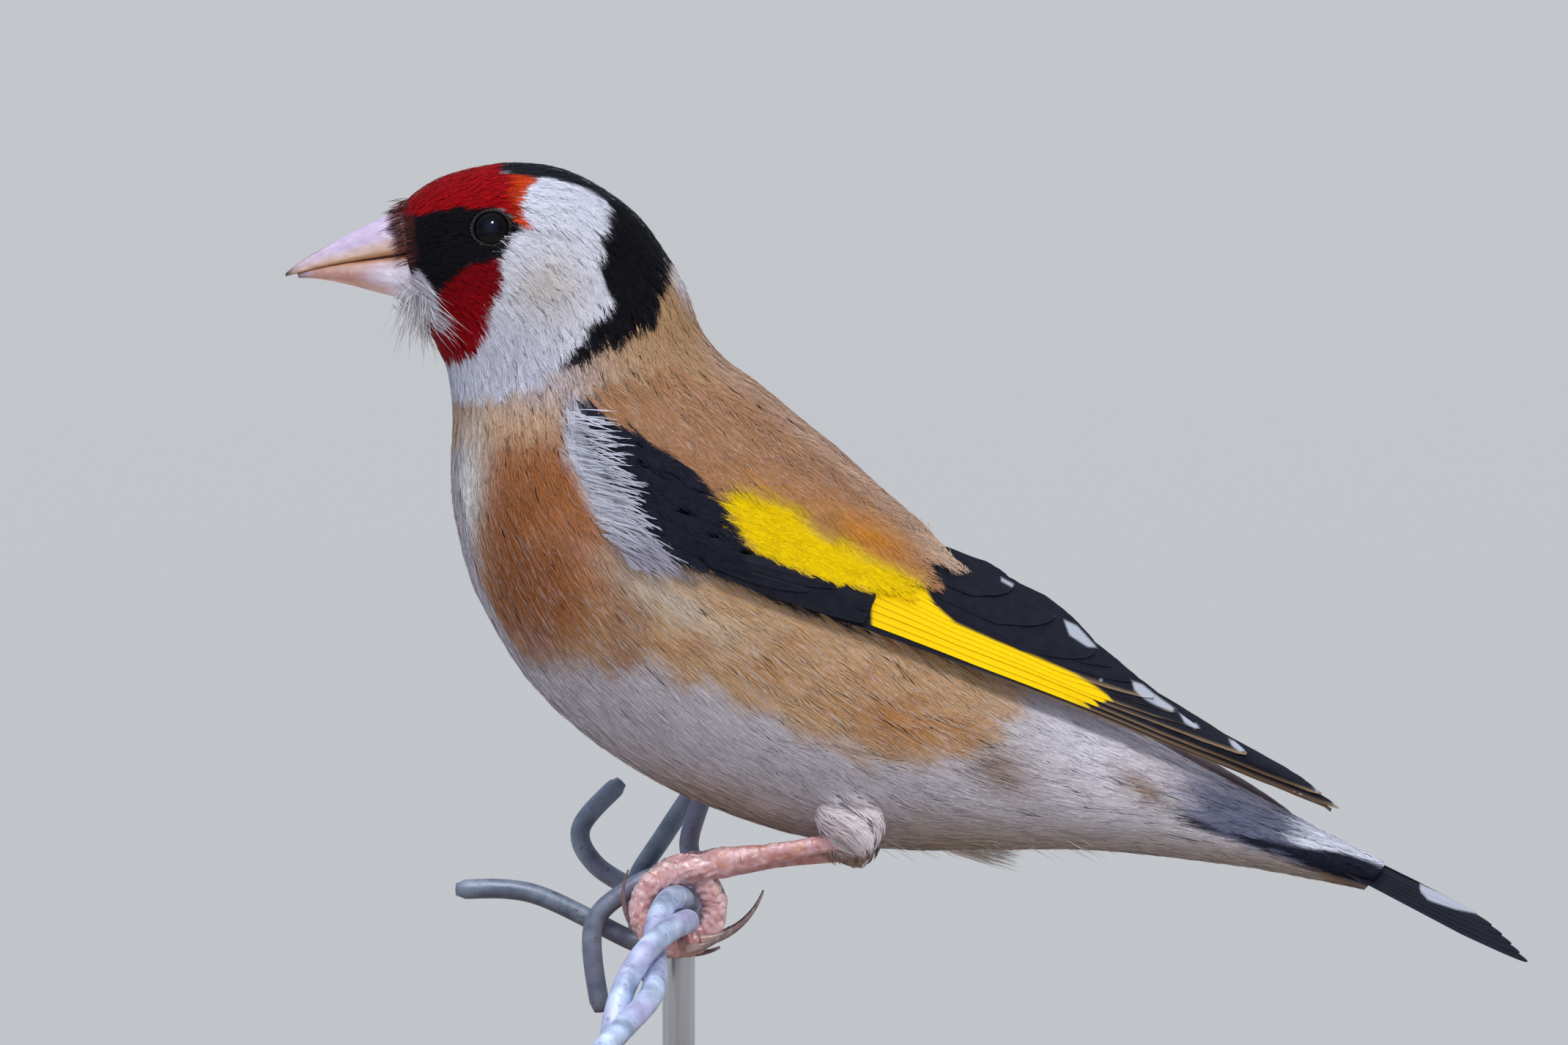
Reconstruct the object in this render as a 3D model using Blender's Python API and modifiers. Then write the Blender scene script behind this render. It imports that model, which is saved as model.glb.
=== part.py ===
"""European goldfinch, life size, perched on a cut length of twisted fence wire over a plain display base.

The bird faces -X, its left side faces -Y and up is +Z. The origin is the centre of the base's underside.
Lengths below are in millimetres of the real bird and become metres through MM.
"""

import math

import bmesh
import bpy
from mathutils import Matrix, Vector

MM = 0.001
GAP = 0.3
LEFT = -1
RIGHT = 1

# Body sections from the bill's base to the tip of the tail coverts. Each gives the point on the back
# line, the point on the belly line and the half width between them.
BODY = [
    ((-30.3, 89.9), (-28.9, 81.6), 3.8),
    ((-29.1, 91.4), (-28.3, 80.2), 5.0),
    ((-26.7, 92.9), (-27.4, 78.5), 6.4),
    ((-23.3, 93.9), (-26.7, 77.0), 7.5),
    ((-19.7, 94.3), (-26.1, 75.7), 8.2),
    ((-15.7, 93.8), (-25.8, 74.3), 8.7),
    ((-12.0, 92.1), (-25.6, 72.7), 9.0),
    ((-8.5, 89.4), (-25.5, 70.7), 9.3),
    ((-6.0, 86.0), (-25.6, 68.5), 9.7),
    ((-4.1, 82.7), (-25.7, 66.0), 10.4),
    ((-2.9, 79.3), (-25.5, 63.0), 11.4),
    ((-0.7, 76.5), (-24.9, 59.9), 12.5),
    ((2.7, 74.0), (-23.9, 56.3), 13.6),
    ((6.3, 71.0), (-22.2, 52.8), 14.6),
    ((10.0, 68.0), (-19.8, 48.7), 15.2),
    ((13.7, 64.6), (-16.2, 44.5), 15.4),
    ((17.5, 61.3), (-11.2, 40.5), 15.1),
    ((21.4, 56.7), (-5.2, 37.0), 14.2),
    ((25.6, 51.8), (1.5, 34.3), 12.8),
    ((30.2, 47.5), (8.3, 32.5), 11.1),
    ((35.3, 43.7), (15.7, 31.7), 9.2),
    ((40.4, 40.6), (23.7, 31.7), 7.5),
    ((45.3, 37.9), (32.3, 31.7), 6.0),
    ((49.7, 35.1), (40.7, 30.9), 4.7),
    ((53.3, 33.0), (48.0, 29.9), 3.9),
    ((56.7, 31.2), (53.3, 28.9), 3.1),
    ((59.6, 29.9), (57.4, 28.1), 2.1),
]
FULLNESS = 0.92
NECK_START, TORSO_START, TAIL_START, BODY_END = 7.3, 10.7, 22.2, 26.0
CUT = 0.16
RING_POINTS = 28

# Soft swellings and hollows of the sides: centre x and z, the two radii, turn in degrees, height.
SWELLINGS = [
    (-22.3, 88.4, 2.9, 2.5, 0.0, -0.55),
    (-26.8, 87.0, 2.4, 2.6, 0.0, -0.30),
    (-16.5, 82.5, 5.5, 5.0, -20.0, 0.60),
    (-20.0, 91.6, 4.5, 1.6, 0.0, 0.25),
    (5.5, 65.5, 15.0, 3.6, -35.0, 1.10),
    (7.0, 55.2, 14.0, 3.2, -24.0, -0.60),
]

EYE_AT = (-21.9, 88.2)
EYE_RADIUS = 2.15
EYE_GAP = 0.15
EYE_DEPTH = 1.55
LID_RADIUS = 1.78
LID_WIRE = 0.28

# Bill sections from base to tip: top line, bottom line, half width.
UPPER_BILL = [
    ((-30.7, 89.8), (-30.05, 86.05), 3.5),
    ((-33.0, 88.75), (-32.6, 85.75), 3.05),
    ((-35.7, 87.35), (-35.4, 85.4), 2.3),
    ((-38.0, 86.05), (-37.9, 84.95), 1.4),
    ((-39.8, 84.9), (-39.8, 84.4), 0.6),
    ((-40.7, 84.15), (-40.65, 84.05), 0.14),
]
LOWER_BILL = [
    ((-29.95, 85.7), (-29.25, 81.7), 3.4),
    ((-32.5, 85.4), (-32.0, 82.35), 2.9),
    ((-35.3, 85.05), (-35.0, 83.15), 2.1),
    ((-37.8, 84.6), (-37.6, 83.65), 1.15),
    ((-39.6, 84.05), (-39.5, 83.85), 0.35),
]
NOSTRIL_AT = (-30.9, 88.1)
NOSTRIL_RADIUS = 0.5

# The surface that the folded wing's feathers lie on: x, then height and distance from the midline
# along its upper edge, then along its lower edge.
WING_SURFACE = [
    (-14.0, 73.6, 10.4, 70.0, 12.3),
    (-9.0, 71.0, 11.4, 62.8, 14.4),
    (-4.0, 68.0, 12.2, 57.6, 15.8),
    (1.0, 65.2, 12.6, 55.8, 15.8),
    (6.0, 63.0, 12.0, 53.8, 15.3),
    (11.0, 60.8, 10.8, 52.0, 14.5),
    (16.0, 59.0, 8.8, 50.1, 13.3),
    (21.0, 57.4, 5.6, 48.3, 11.8),
    (26.0, 54.8, 4.2, 46.7, 10.0),
    (31.0, 51.4, 3.9, 45.0, 8.0),
    (36.0, 47.9, 3.8, 43.1, 6.4),
    (41.0, 44.5, 3.7, 41.5, 5.4),
    (46.0, 41.5, 3.6, 39.7, 4.7),
    (51.0, 38.8, 3.5, 37.4, 4.2),
    (56.0, 35.9, 3.4, 34.8, 3.9),
]
WING_BULGE = 0.8
LONG_PRIMARIES = 5
VANE_THICKNESS = 0.5
VANE_TILT = 0.5
CORE_START, CORE_END, CORE_DEPTH = -7.5, 23.5, 2.6

# Flight feathers, outermost primary first: root, tip, arch, width below and above the shaft.
FLIGHT_FEATHERS = [
    ((2.5, 55.5), (54.4, 35.45), 1.3, (0.7, 1.5)),
    ((3.5, 55.9), (55.1, 35.65), 1.3, (0.9, 1.5)),
    ((4.7, 56.3), (53.5, 36.9), 1.1, (1.1, 1.6)),
    ((6.0, 56.7), (46.7, 40.6), 0.9, (1.4, 1.8)),
    ((7.4, 57.1), (42.5, 42.8), 0.8, (1.6, 1.9)),
    ((8.8, 57.5), (40.2, 44.3), 0.7, (1.8, 2.0)),
    ((10.2, 57.9), (36.4, 47.2), 0.7, (2.0, 2.0)),
    ((11.6, 58.2), (34.5, 48.5), 0.6, (2.0, 2.0)),
    ((13.0, 58.5), (32.6, 49.4), 0.5, (2.2, 2.0)),
    ((14.2, 58.8), (33.0, 50.0), 0.3, (2.7, 2.2)),
    ((15.0, 59.3), (29.3, 53.0), 0.1, (2.3, 1.5)),
    ((15.6, 59.7), (25.5, 55.7), 0.0, (1.7, 1.1)),
]

# Tiers of coverts: first root and tip, last root and tip, how many, widths, blunt end, lift.
COVERTS = {
    "primary_covert": ((-0.5, 57.0), (12.2, 52.6), (2.0, 58.6), (12.9, 54.2), 3, (0.7, 0.9), 0.3, 0.35),
    "greater_covert": ((-1.0, 59.4), (13.4, 55.2), (4.5, 61.4), (17.0, 56.3), 5, (0.8, 1.3), 0.5, 0.35),
    "median_covert": ((-9.0, 63.2), (-1.5, 57.6), (-5.0, 67.6), (1.4, 61.0), 4, (1.0, 1.5), 0.5, 0.4),
    "lesser_covert": ((-13.4, 70.2), (-8.2, 63.0), (-12.2, 72.4), (-4.6, 66.4), 3, (1.0, 1.5), 0.5, 0.2),
}

# The right wing hangs a little lower than the left one.
RIGHT_DROOP = math.radians(1.9)
RIGHT_SHIFT = -1.3
SHOULDER = (-14.3, 72.3)

TAIL_ROOT = (43.5, 38.0)
TAIL_SLOPE = math.radians(-26.1)
TAIL_TIP_X = (67.8, 73.2)
TAIL_FEATHERS = 6
TAIL_HALF_SPREAD = 6.4
TAIL_ROOT_SPREAD = 1.9
TAIL_ROOF = 1.5
TAIL_STEP = 0.22

# The wire runs fore and aft under the bird's toes, then droops towards -Y.
WIRE_X, WIRE_Z = -5.0, 26.3
WIRE_BACK, WIRE_FRONT, DROOP_START = 25.0, -39.0, -10.0
WIRE_DROP, WIRE_SWING = 15.1, -7.2
STRAND_RADIUS = 1.1
STRAND_OFFSET = STRAND_RADIUS + 0.5 * GAP
STRAND_PITCH = 29.25
STRAND_PHASE = math.radians(-0.8)
STRAND_STEPS = 30
BARB_RADIUS = 0.9
BARB_COIL = STRAND_OFFSET + STRAND_RADIUS + GAP + BARB_RADIUS
COIL_STEPS, ARM_STEPS = 11, 6

FOOT_Y = 6.3
TOE_PATH = STRAND_OFFSET + STRAND_RADIUS + GAP + 0.85

BASE_RADIUS, BASE_HEIGHT, BASE_BEVEL = 42.0, 5.0, 0.8
ROD_RADIUS = 1.5
ROD_BACK_Y, ROD_FRONT_Y = 22.0, -36.5

COLOURS = {
    "plumage_tan": ((0.50, 0.31, 0.16), 0.85, 0.0),
    "plumage_red": ((0.45, 0.02, 0.02), 0.85, 0.0),
    "plumage_pale": ((0.72, 0.66, 0.58), 0.85, 0.0),
    "bill_horn": ((0.78, 0.62, 0.60), 0.35, 0.0),
    "eye_dark": ((0.02, 0.015, 0.015), 0.05, 0.0),
    "flight_black": ((0.02, 0.02, 0.025), 0.5, 0.0),
    "leg_skin": ((0.62, 0.30, 0.24), 0.5, 0.0),
    "claw_horn": ((0.16, 0.11, 0.10), 0.3, 0.0),
    "wire_zinc": ((0.42, 0.47, 0.52), 0.45, 0.7),
    "stand_wood": ((0.25, 0.14, 0.07), 0.45, 0.0),
    "stand_steel": ((0.6, 0.6, 0.6), 0.25, 1.0),
}


def clear_scene():
    for obj in list(bpy.data.objects):
        bpy.data.objects.remove(obj)


def collection(name, shown=True):
    made = bpy.data.collections.new(name)
    bpy.context.scene.collection.children.link(made)
    made.hide_render = not shown
    return made


def material(name):
    made = bpy.data.materials.get(name)
    if made is None:
        colour, roughness, metallic = COLOURS[name]
        made = bpy.data.materials.new(name)
        made.use_nodes = True
        shader = made.node_tree.nodes["Principled BSDF"]
        shader.inputs["Base Color"].default_value = (*colour, 1.0)
        shader.inputs["Roughness"].default_value = roughness
        shader.inputs["Metallic"].default_value = metallic
    return made


def between(a, b, t):
    return a + (b - a) * t


def between_points(a, b, t):
    return tuple(between(p, q, t) for p, q in zip(a, b))


def smooth_row(rows, place):
    """Catmull-Rom value of rows of numbers at a fractional row index."""
    last = len(rows) - 1
    k = min(int(place), last - 1)
    t = place - k
    p0, p1, p2, p3 = (rows[min(max(k + d, 0), last)] for d in (-1, 0, 1, 2))
    return [
        0.5 * (2 * b + (c - a) * t + (2 * a - 5 * b + 4 * c - d) * t**2 + (3 * b - a - 3 * c + d) * t**3)
        for a, b, c, d in zip(p0, p1, p2, p3)
    ]


def steps(start, end, count):
    return [between(start, end, k / (count - 1)) for k in range(count)]


# Meshes

def object_from(name, verts, faces, holder, paint=None):
    """A mesh object whose points are in millimetres, with its faces turned outwards."""
    mesh = bpy.data.meshes.new(name)
    mesh.from_pydata([Vector(v) * MM for v in verts], [], faces)
    shape = bmesh.new()
    shape.from_mesh(mesh)
    bmesh.ops.recalc_face_normals(shape, faces=shape.faces)
    shape.to_mesh(mesh)
    shape.free()
    obj = bpy.data.objects.new(name, mesh)
    holder.objects.link(obj)
    if paint:
        mesh.materials.append(material(paint))
    return obj


def loft(name, rings, holder, paint=None):
    """A closed skin through rings of equal point count, with a flat cap on each end."""
    count = len(rings[0])
    verts = [p for ring in rings for p in ring]
    faces = [tuple(range(count)), tuple(range(len(verts) - count, len(verts)))]
    for r in range(len(rings) - 1):
        for k in range(count):
            a, b = r * count + k, r * count + (k + 1) % count
            faces.append((a, b, b + count, a + count))
    return object_from(name, verts, faces, holder, paint)


def slab(name, outer, inner, holder):
    """A closed plate between two grids of points, split into triangles alike on both faces."""
    rows, cols = len(outer), len(outer[0])
    verts = [p for row in outer for p in row] + [p for row in inner for p in row]
    half = rows * cols
    faces = []
    for r in range(rows - 1):
        for c in range(cols - 1):
            a, b = r * cols + c, r * cols + c + 1
            d, e = a + cols, b + cols
            faces += [(a, b, e), (a, e, d), (a + half, e + half, b + half), (a + half, d + half, e + half)]
    rim = [c for c in range(cols)]
    rim += [r * cols + cols - 1 for r in range(1, rows)]
    rim += [(rows - 1) * cols + c for c in range(cols - 2, -1, -1)]
    rim += [r * cols for r in range(rows - 2, 0, -1)]
    for k, a in enumerate(rim):
        b = rim[(k + 1) % len(rim)]
        faces.append((a, b, b + half, a + half))
    return object_from(name, verts, faces, holder)


def ball(name, centre, radii, turn_y, holder, segments=20, rings=12, paint=None):
    shape = bmesh.new()
    bmesh.ops.create_uvsphere(shape, u_segments=segments, v_segments=rings, radius=1.0)
    place = Matrix.Translation(Vector(centre) * MM) @ Matrix.Rotation(turn_y, 4, "Y")
    bmesh.ops.transform(shape, matrix=place @ Matrix.Diagonal((*(r * MM for r in radii), 1.0)), verts=shape.verts)
    mesh = bpy.data.meshes.new(name)
    shape.to_mesh(mesh)
    shape.free()
    obj = bpy.data.objects.new(name, mesh)
    holder.objects.link(obj)
    if paint:
        mesh.materials.append(material(paint))
    return obj


def tube(name, points, radii, holder, paint=None, sides=8):
    """A tapered tube: a poly curve with a bevel, made a mesh with its caps welded."""
    curve = bpy.data.curves.new(name, "CURVE")
    curve.dimensions = "3D"
    curve.bevel_depth = MM
    curve.bevel_resolution = sides // 2 - 2
    curve.use_fill_caps = True
    spline = curve.splines.new("POLY")
    spline.points.add(len(points) - 1)
    for target, place, radius in zip(spline.points, points, radii):
        target.co = (*(Vector(place) * MM), 1.0)
        target.radius = radius
    guide = bpy.data.objects.new(name + "_line", curve)
    holder.objects.link(guide)
    bpy.context.view_layer.update()
    graph = bpy.context.evaluated_depsgraph_get()
    mesh = bpy.data.meshes.new_from_object(guide.evaluated_get(graph))
    mesh.name = name
    bpy.data.objects.remove(guide)
    shape = bmesh.new()
    shape.from_mesh(mesh)
    bmesh.ops.remove_doubles(shape, verts=shape.verts, dist=0.00002)
    bmesh.ops.recalc_face_normals(shape, faces=shape.faces)
    shape.to_mesh(mesh)
    shape.free()
    obj = bpy.data.objects.new(name, mesh)
    holder.objects.link(obj)
    mesh.materials.clear()
    if paint:
        mesh.materials.append(material(paint))
    return obj


def move_to(obj, name, holder):
    """Names a new primitive and puts it in the given collection alone."""
    obj.name = name
    for owner in list(obj.users_collection):
        owner.objects.unlink(obj)
    holder.objects.link(obj)
    return obj


def apply_modifiers(obj):
    bpy.context.view_layer.update()
    graph = bpy.context.evaluated_depsgraph_get()
    mesh = bpy.data.meshes.new_from_object(obj.evaluated_get(graph))
    obj.modifiers.clear()
    obj.data = mesh


def boolean(obj, others, operation, solver):
    """Joins or cuts obj with every mesh in the collection others, applies it and removes those meshes."""
    modifier = obj.modifiers.new(operation.lower(), "BOOLEAN")
    modifier.operand_type = "COLLECTION"
    modifier.collection = others
    modifier.operation = operation
    modifier.solver = solver
    apply_modifiers(obj)
    for other in list(others.objects):
        bpy.data.objects.remove(other)
    bpy.data.collections.remove(others)


def signed_volume(faces):
    total = 0.0
    for face in faces:
        corners = [v.co for v in face.verts]
        for b, c in zip(corners[1:], corners[2:]):
            total += corners[0].dot(b.cross(c))
    return total / 6


def keep_largest(obj):
    """Keeps the one closed surface of largest volume and drops loose scraps."""
    shape = bmesh.new()
    shape.from_mesh(obj.data)
    bmesh.ops.remove_doubles(shape, verts=shape.verts, dist=0.000001)
    left = set(shape.faces)
    groups = []
    while left:
        group, front = set(), [left.pop()]
        while front:
            face = front.pop()
            group.add(face)
            near = [f for edge in face.edges for f in edge.link_faces if f in left]
            left.difference_update(near)
            front.extend(near)
        groups.append(group)
    best = max(groups, key=signed_volume)
    loose = [face for group in groups if group is not best for face in group]
    bmesh.ops.delete(shape, geom=loose, context="FACES")
    shape.to_mesh(obj.data)
    shape.free()


def finish(obj, paint):
    obj.data.materials.clear()
    obj.data.materials.append(material(paint))
    for polygon in obj.data.polygons:
        polygon.material_index = 0
    obj.data.shade_smooth()
    obj.data.set_sharp_from_angle(angle=math.radians(35))


# The body's surface

BODY_ROWS = [(*back, *belly, width) for back, belly, width in BODY]


def swelling(x, z):
    """Outward offset of the body's side at a place in the side view."""
    total = 0.0
    for cx, cz, along, across, turn, height in SWELLINGS:
        a = math.radians(turn)
        u = ((x - cx) * math.cos(a) + (z - cz) * math.sin(a)) / along
        v = ((z - cz) * math.cos(a) - (x - cx) * math.sin(a)) / across
        total += height * math.exp(-(u * u + v * v))
    return total


def body_ring(place, grow=0.0, count=RING_POINTS):
    """The body's section at a fractional station, moved outwards by grow."""
    bx, bz, vx, vz, width = smooth_row(BODY_ROWS, place)
    back, belly = Vector((bx, 0, bz)), Vector((vx, 0, vz))
    middle, half = (back + belly) / 2, (back - belly) / 2
    half *= (half.length + grow) / half.length
    ring = []
    for k in range(count):
        angle = 2 * math.pi * k / count
        side = math.sin(angle)
        p = middle + half * math.cos(angle)
        out = width * abs(side) ** FULLNESS + swelling(p.x, p.z) * abs(side) + grow * abs(side)
        ring.append(Vector((p.x, math.copysign(out, side), p.z)))
    return ring


def body_loft(name, start, end, count, holder, grow=0.0, paint=None):
    rings = [body_ring(place, grow) for place in steps(start, end, count)]
    return loft(name, rings, holder, paint)


def back_height(x):
    """Height of the body's back line at x."""
    low, high = 3.0, BODY_END
    for _ in range(30):
        place = (low + high) / 2
        low, high = (place, high) if smooth_row(BODY_ROWS, place)[0] < x else (low, place)
    return smooth_row(BODY_ROWS, low)[1]


def side_of_body(x, z):
    """Distance of the body's side from the midline at a place inside its side view."""
    low, high = 0.0, BODY_END
    for _ in range(40):
        place = (low + high) / 2
        bx, bz, vx, vz, width = smooth_row(BODY_ROWS, place)
        beyond = (x - vx) * (bz - vz) - (z - vz) * (bx - vx)
        low, high = (place, high) if beyond > 0 else (low, place)
    reach = ((x - vx) * (bx - vx) + (z - vz) * (bz - vz)) / ((bx - vx) ** 2 + (bz - vz) ** 2)
    c = min(1.0, abs(2 * reach - 1))
    side = math.sqrt(1 - c * c)
    return width * side**FULLNESS + swelling(x, z) * side


# Head, neck and torso

def eye_frame(side):
    """The eyeball's centre and the direction it looks in, square to the head's side."""
    x, z = EYE_AT
    y = side_of_body(x, z)
    lean_x = side_of_body(x + 1.5, z) - side_of_body(x - 1.5, z)
    lean_z = side_of_body(x, z + 1.5) - side_of_body(x, z - 1.5)
    out = Vector((-0.6 * lean_x / 3, side, -0.6 * lean_z / 3)).normalized()
    return Vector((x, side * y, z)) - out * EYE_DEPTH, out


def make_eye(side, parts):
    name = "eye_left" if side == LEFT else "eye_right"
    centre, out = eye_frame(side)
    obj = ball(name, (0, 0, 0), [EYE_RADIUS] * 3, 0.0, parts, 18, 10)
    obj.data.transform(Matrix.Translation(centre * MM) @ out.to_track_quat("Z", "Y").to_matrix().to_4x4())
    finish(obj, "eye_dark")


def add_lid(side, holder):
    """The raised ring of bare skin round the eye."""
    reach = EYE_RADIUS + EYE_GAP + LID_WIRE
    centre, out = eye_frame(side)
    bpy.ops.mesh.primitive_torus_add(
        major_radius=LID_RADIUS * MM, minor_radius=LID_WIRE * MM, major_segments=16, minor_segments=5,
        location=(centre + out * math.sqrt(reach**2 - LID_RADIUS**2)) * MM,
        rotation=out.to_track_quat("Z", "Y").to_euler(),
    )
    move_to(bpy.context.object, "lid", holder)


def make_head(parts):
    head = body_loft("head", 0.0, NECK_START - CUT, 13, parts)
    lids, sockets = collection("lids"), collection("sockets")
    for side in (LEFT, RIGHT):
        add_lid(side, lids)
        ball("socket", eye_frame(side)[0], [EYE_RADIUS + EYE_GAP] * 3, 0.0, sockets, 18, 10)
    boolean(head, lids, "UNION", "EXACT")
    boolean(head, sockets, "DIFFERENCE", "EXACT")
    keep_largest(head)
    finish(head, "plumage_red")


def make_neck_and_torso(parts):
    neck = body_loft("neck", NECK_START, TORSO_START - CUT, 7, parts)
    finish(neck, "plumage_pale")
    torso = body_loft("torso", TORSO_START, TAIL_START - CUT, 21, parts)
    beds = collection("wing_beds")
    for side in (LEFT, RIGHT):
        wing_core("bed", side, beds, GAP)
    boolean(torso, beds, "DIFFERENCE", "EXACT")
    keep_largest(torso)
    finish(torso, "plumage_tan")


def grown_body(name, holder, grow=GAP):
    """The whole body grown by the gap, as a cutter for whatever lies against it."""
    return body_loft(name, 0.0, BODY_END, 52, holder, grow)


# Bill

def bill_rings(sections, flat_top, count=16):
    """Rounded sections with the side towards the mouth flattened."""
    rings = []
    for (tx, tz), (lx, lz), width in sections:
        top, low = Vector((tx, 0, tz)), Vector((lx, 0, lz))
        ring = []
        for k in range(count):
            angle = 2 * math.pi * k / count
            side, rise = math.sin(angle), math.cos(angle)
            mouth_side = (rise > 0) == flat_top
            height = math.copysign(abs(rise) ** (0.35 if mouth_side else 1.0), rise)
            split = 0.62 if flat_top else 0.38
            share = split + height * ((1 - split) if rise > 0 else split)
            p = low + (top - low) * share
            ring.append(Vector((p.x, width * math.copysign(abs(side) ** 0.85, side), p.z)))
        rings.append(ring)
    return rings


def smoothed(sections, count):
    rows = [(*a, *b, width) for a, b, width in sections]
    made = [smooth_row(rows, place) for place in steps(0.0, len(rows) - 1.0, count)]
    return [((r[0], r[1]), (r[2], r[3]), max(r[4], 0.08)) for r in made]


def make_bill(parts):
    upper = loft("bill_upper", bill_rings(smoothed(UPPER_BILL, 9), False), parts)
    pits = collection("pits")
    for side in (LEFT, RIGHT):
        x, z = NOSTRIL_AT
        ball("pit", (x, side * 2.9, z), [NOSTRIL_RADIUS * 1.3, 0.7, NOSTRIL_RADIUS * 0.8], 0.4, pits, 8, 5)
    boolean(upper, pits, "DIFFERENCE", "EXACT")
    keep_largest(upper)
    finish(upper, "bill_horn")
    lower = loft("bill_lower", bill_rings(smoothed(LOWER_BILL, 7), True), parts)
    finish(lower, "bill_horn")


# Wings

def wing_edges(x):
    """The wing surface's row at x: upper height and distance out, then lower height and distance out."""
    rows = WING_SURFACE
    place = (x - rows[0][0]) / (rows[1][0] - rows[0][0])
    return smooth_row(rows, min(max(place, 0.0), len(rows) - 1.0))[1:]


def wing_point(side, x, z, lift=0.0):
    """A point over the folded wing's surface. The right wing hangs a little lower, turned at its shoulder."""
    high, y_high, low, y_low = wing_edges(x)
    t = min(max((high - z) / (high - low), -0.25), 1.25)
    y = between(y_high, y_low, t) + WING_BULGE * 4 * t * (1 - t)
    if side == RIGHT:
        u, v = x - SHOULDER[0], z - SHOULDER[1]
        x = SHOULDER[0] + u * math.cos(RIGHT_DROOP) + v * math.sin(RIGHT_DROOP) + RIGHT_SHIFT
        z = SHOULDER[1] + v * math.cos(RIGHT_DROOP) - u * math.sin(RIGHT_DROOP)
    if z < back_height(x):
        tuck = min(max((22 - x) / 6, 0.0), 1.0)
        y = max(y, side_of_body(x, z) + 0.75 - 1.8 * (1 - t) * tuck)
    return Vector((x, side * (y + lift), z))


def vane(name, side, root, tip, bow, widths, lift, holder, rows=6, blunt=0.55):
    """One feather of a folded wing, laid on the wing's surface with its lower edge raised."""
    root, tip = Vector((root[0], 0, root[1])), Vector((tip[0], 0, tip[1]))
    along = tip - root
    up = Vector((-along.z, 0, along.x)).normalized()
    outer, inner = [], []
    for k in range(rows):
        u = 1 - (1 - k / (rows - 1)) ** 1.4
        centre = root + along * u + up * (bow * 4 * u * (1 - u))
        taper = min(1.0, 0.45 + 1.5 * u) * (min(1.0, ((1 - u) / 0.3) ** blunt) if u < 1 else 0.0)
        taper = max(taper, 0.08)
        row_out, row_in = [], []
        for edge, raised in ((-widths[0] * taper, VANE_TILT), (widths[1] * taper, 0.0)):
            p = centre + up * edge
            over = between(*lift, u) + raised
            row_out.append(wing_point(side, p.x, p.z, over))
            row_in.append(wing_point(side, p.x, p.z, over - VANE_THICKNESS * between(1.0, 0.7, u)))
        outer.append(row_out)
        inner.append(row_in)
    return slab(name, outer, inner, holder)


def wing_core(name, side, holder, grow=0.0):
    """The arm of the folded wing under its coverts, a plate sunk in a bed in the torso's side."""
    outer, inner = [], []
    for x in steps(CORE_START - grow, CORE_END + grow, 8):
        high, _, low, _ = wing_edges(x)
        end = min(1.0, 0.55 + (x - CORE_START) / 12, 0.5 + (CORE_END - x) / 8)
        middle = between(high, low, 0.62)
        bottom = between(middle, low, 0.88 * end) - grow
        top = between(middle, high, 0.42 * end) + grow
        heights = steps(bottom, top, 3)
        outer.append([wing_point(side, x, z, 4.0 if grow else -0.1) for z in heights])
        inner.append([wing_point(side, x, z, -CORE_DEPTH - grow) for z in heights])
    return slab(name, outer, inner, holder)


def wing_pieces(side, holder):
    """All the vanes of a wing in tiers, from the outermost primary up to the lesser coverts."""
    for k, (root, tip, bow, widths) in enumerate(FLIGHT_FEATHERS):
        rows = 6 if k < LONG_PRIMARIES else 5
        vane(f"flight_{k}", side, root, tip, bow, widths, (-0.3, 0.0), holder, rows)
    for kind, (root_a, tip_a, root_b, tip_b, count, widths, blunt, lift) in COVERTS.items():
        for k in range(count):
            t = k / (count - 1)
            root, tip = between_points(root_a, root_b, t), between_points(tip_a, tip_b, t)
            vane(f"{kind}_{k}", side, root, tip, 0.0, widths, (lift - 0.2, lift), holder, 4, blunt)


def make_wing(side, parts):
    vanes, body, core = collection("vanes"), collection("body_cutter"), collection("core")
    wing_pieces(side, vanes)
    wing = vanes.objects[0]
    vanes.objects.unlink(wing)
    parts.objects.link(wing)
    wing.name = "wing_left" if side == LEFT else "wing_right"
    boolean(wing, vanes, "UNION", "MANIFOLD")
    grown_body("grown", body)
    boolean(wing, body, "DIFFERENCE", "MANIFOLD")
    wing_core("core", side, core)
    boolean(wing, core, "UNION", "MANIFOLD")
    keep_largest(wing)
    finish(wing, "flight_black")


# Tail

def tail_point(along, y, drop):
    """A point a given way down the tail's ridge line, out from the midline and below the ridge."""
    ridge = Vector((math.cos(TAIL_SLOPE), 0, math.sin(TAIL_SLOPE)))
    normal = Vector((-ridge.z, 0, ridge.x))
    return Vector((TAIL_ROOT[0], y, TAIL_ROOT[1])) + ridge * along - normal * drop


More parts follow.
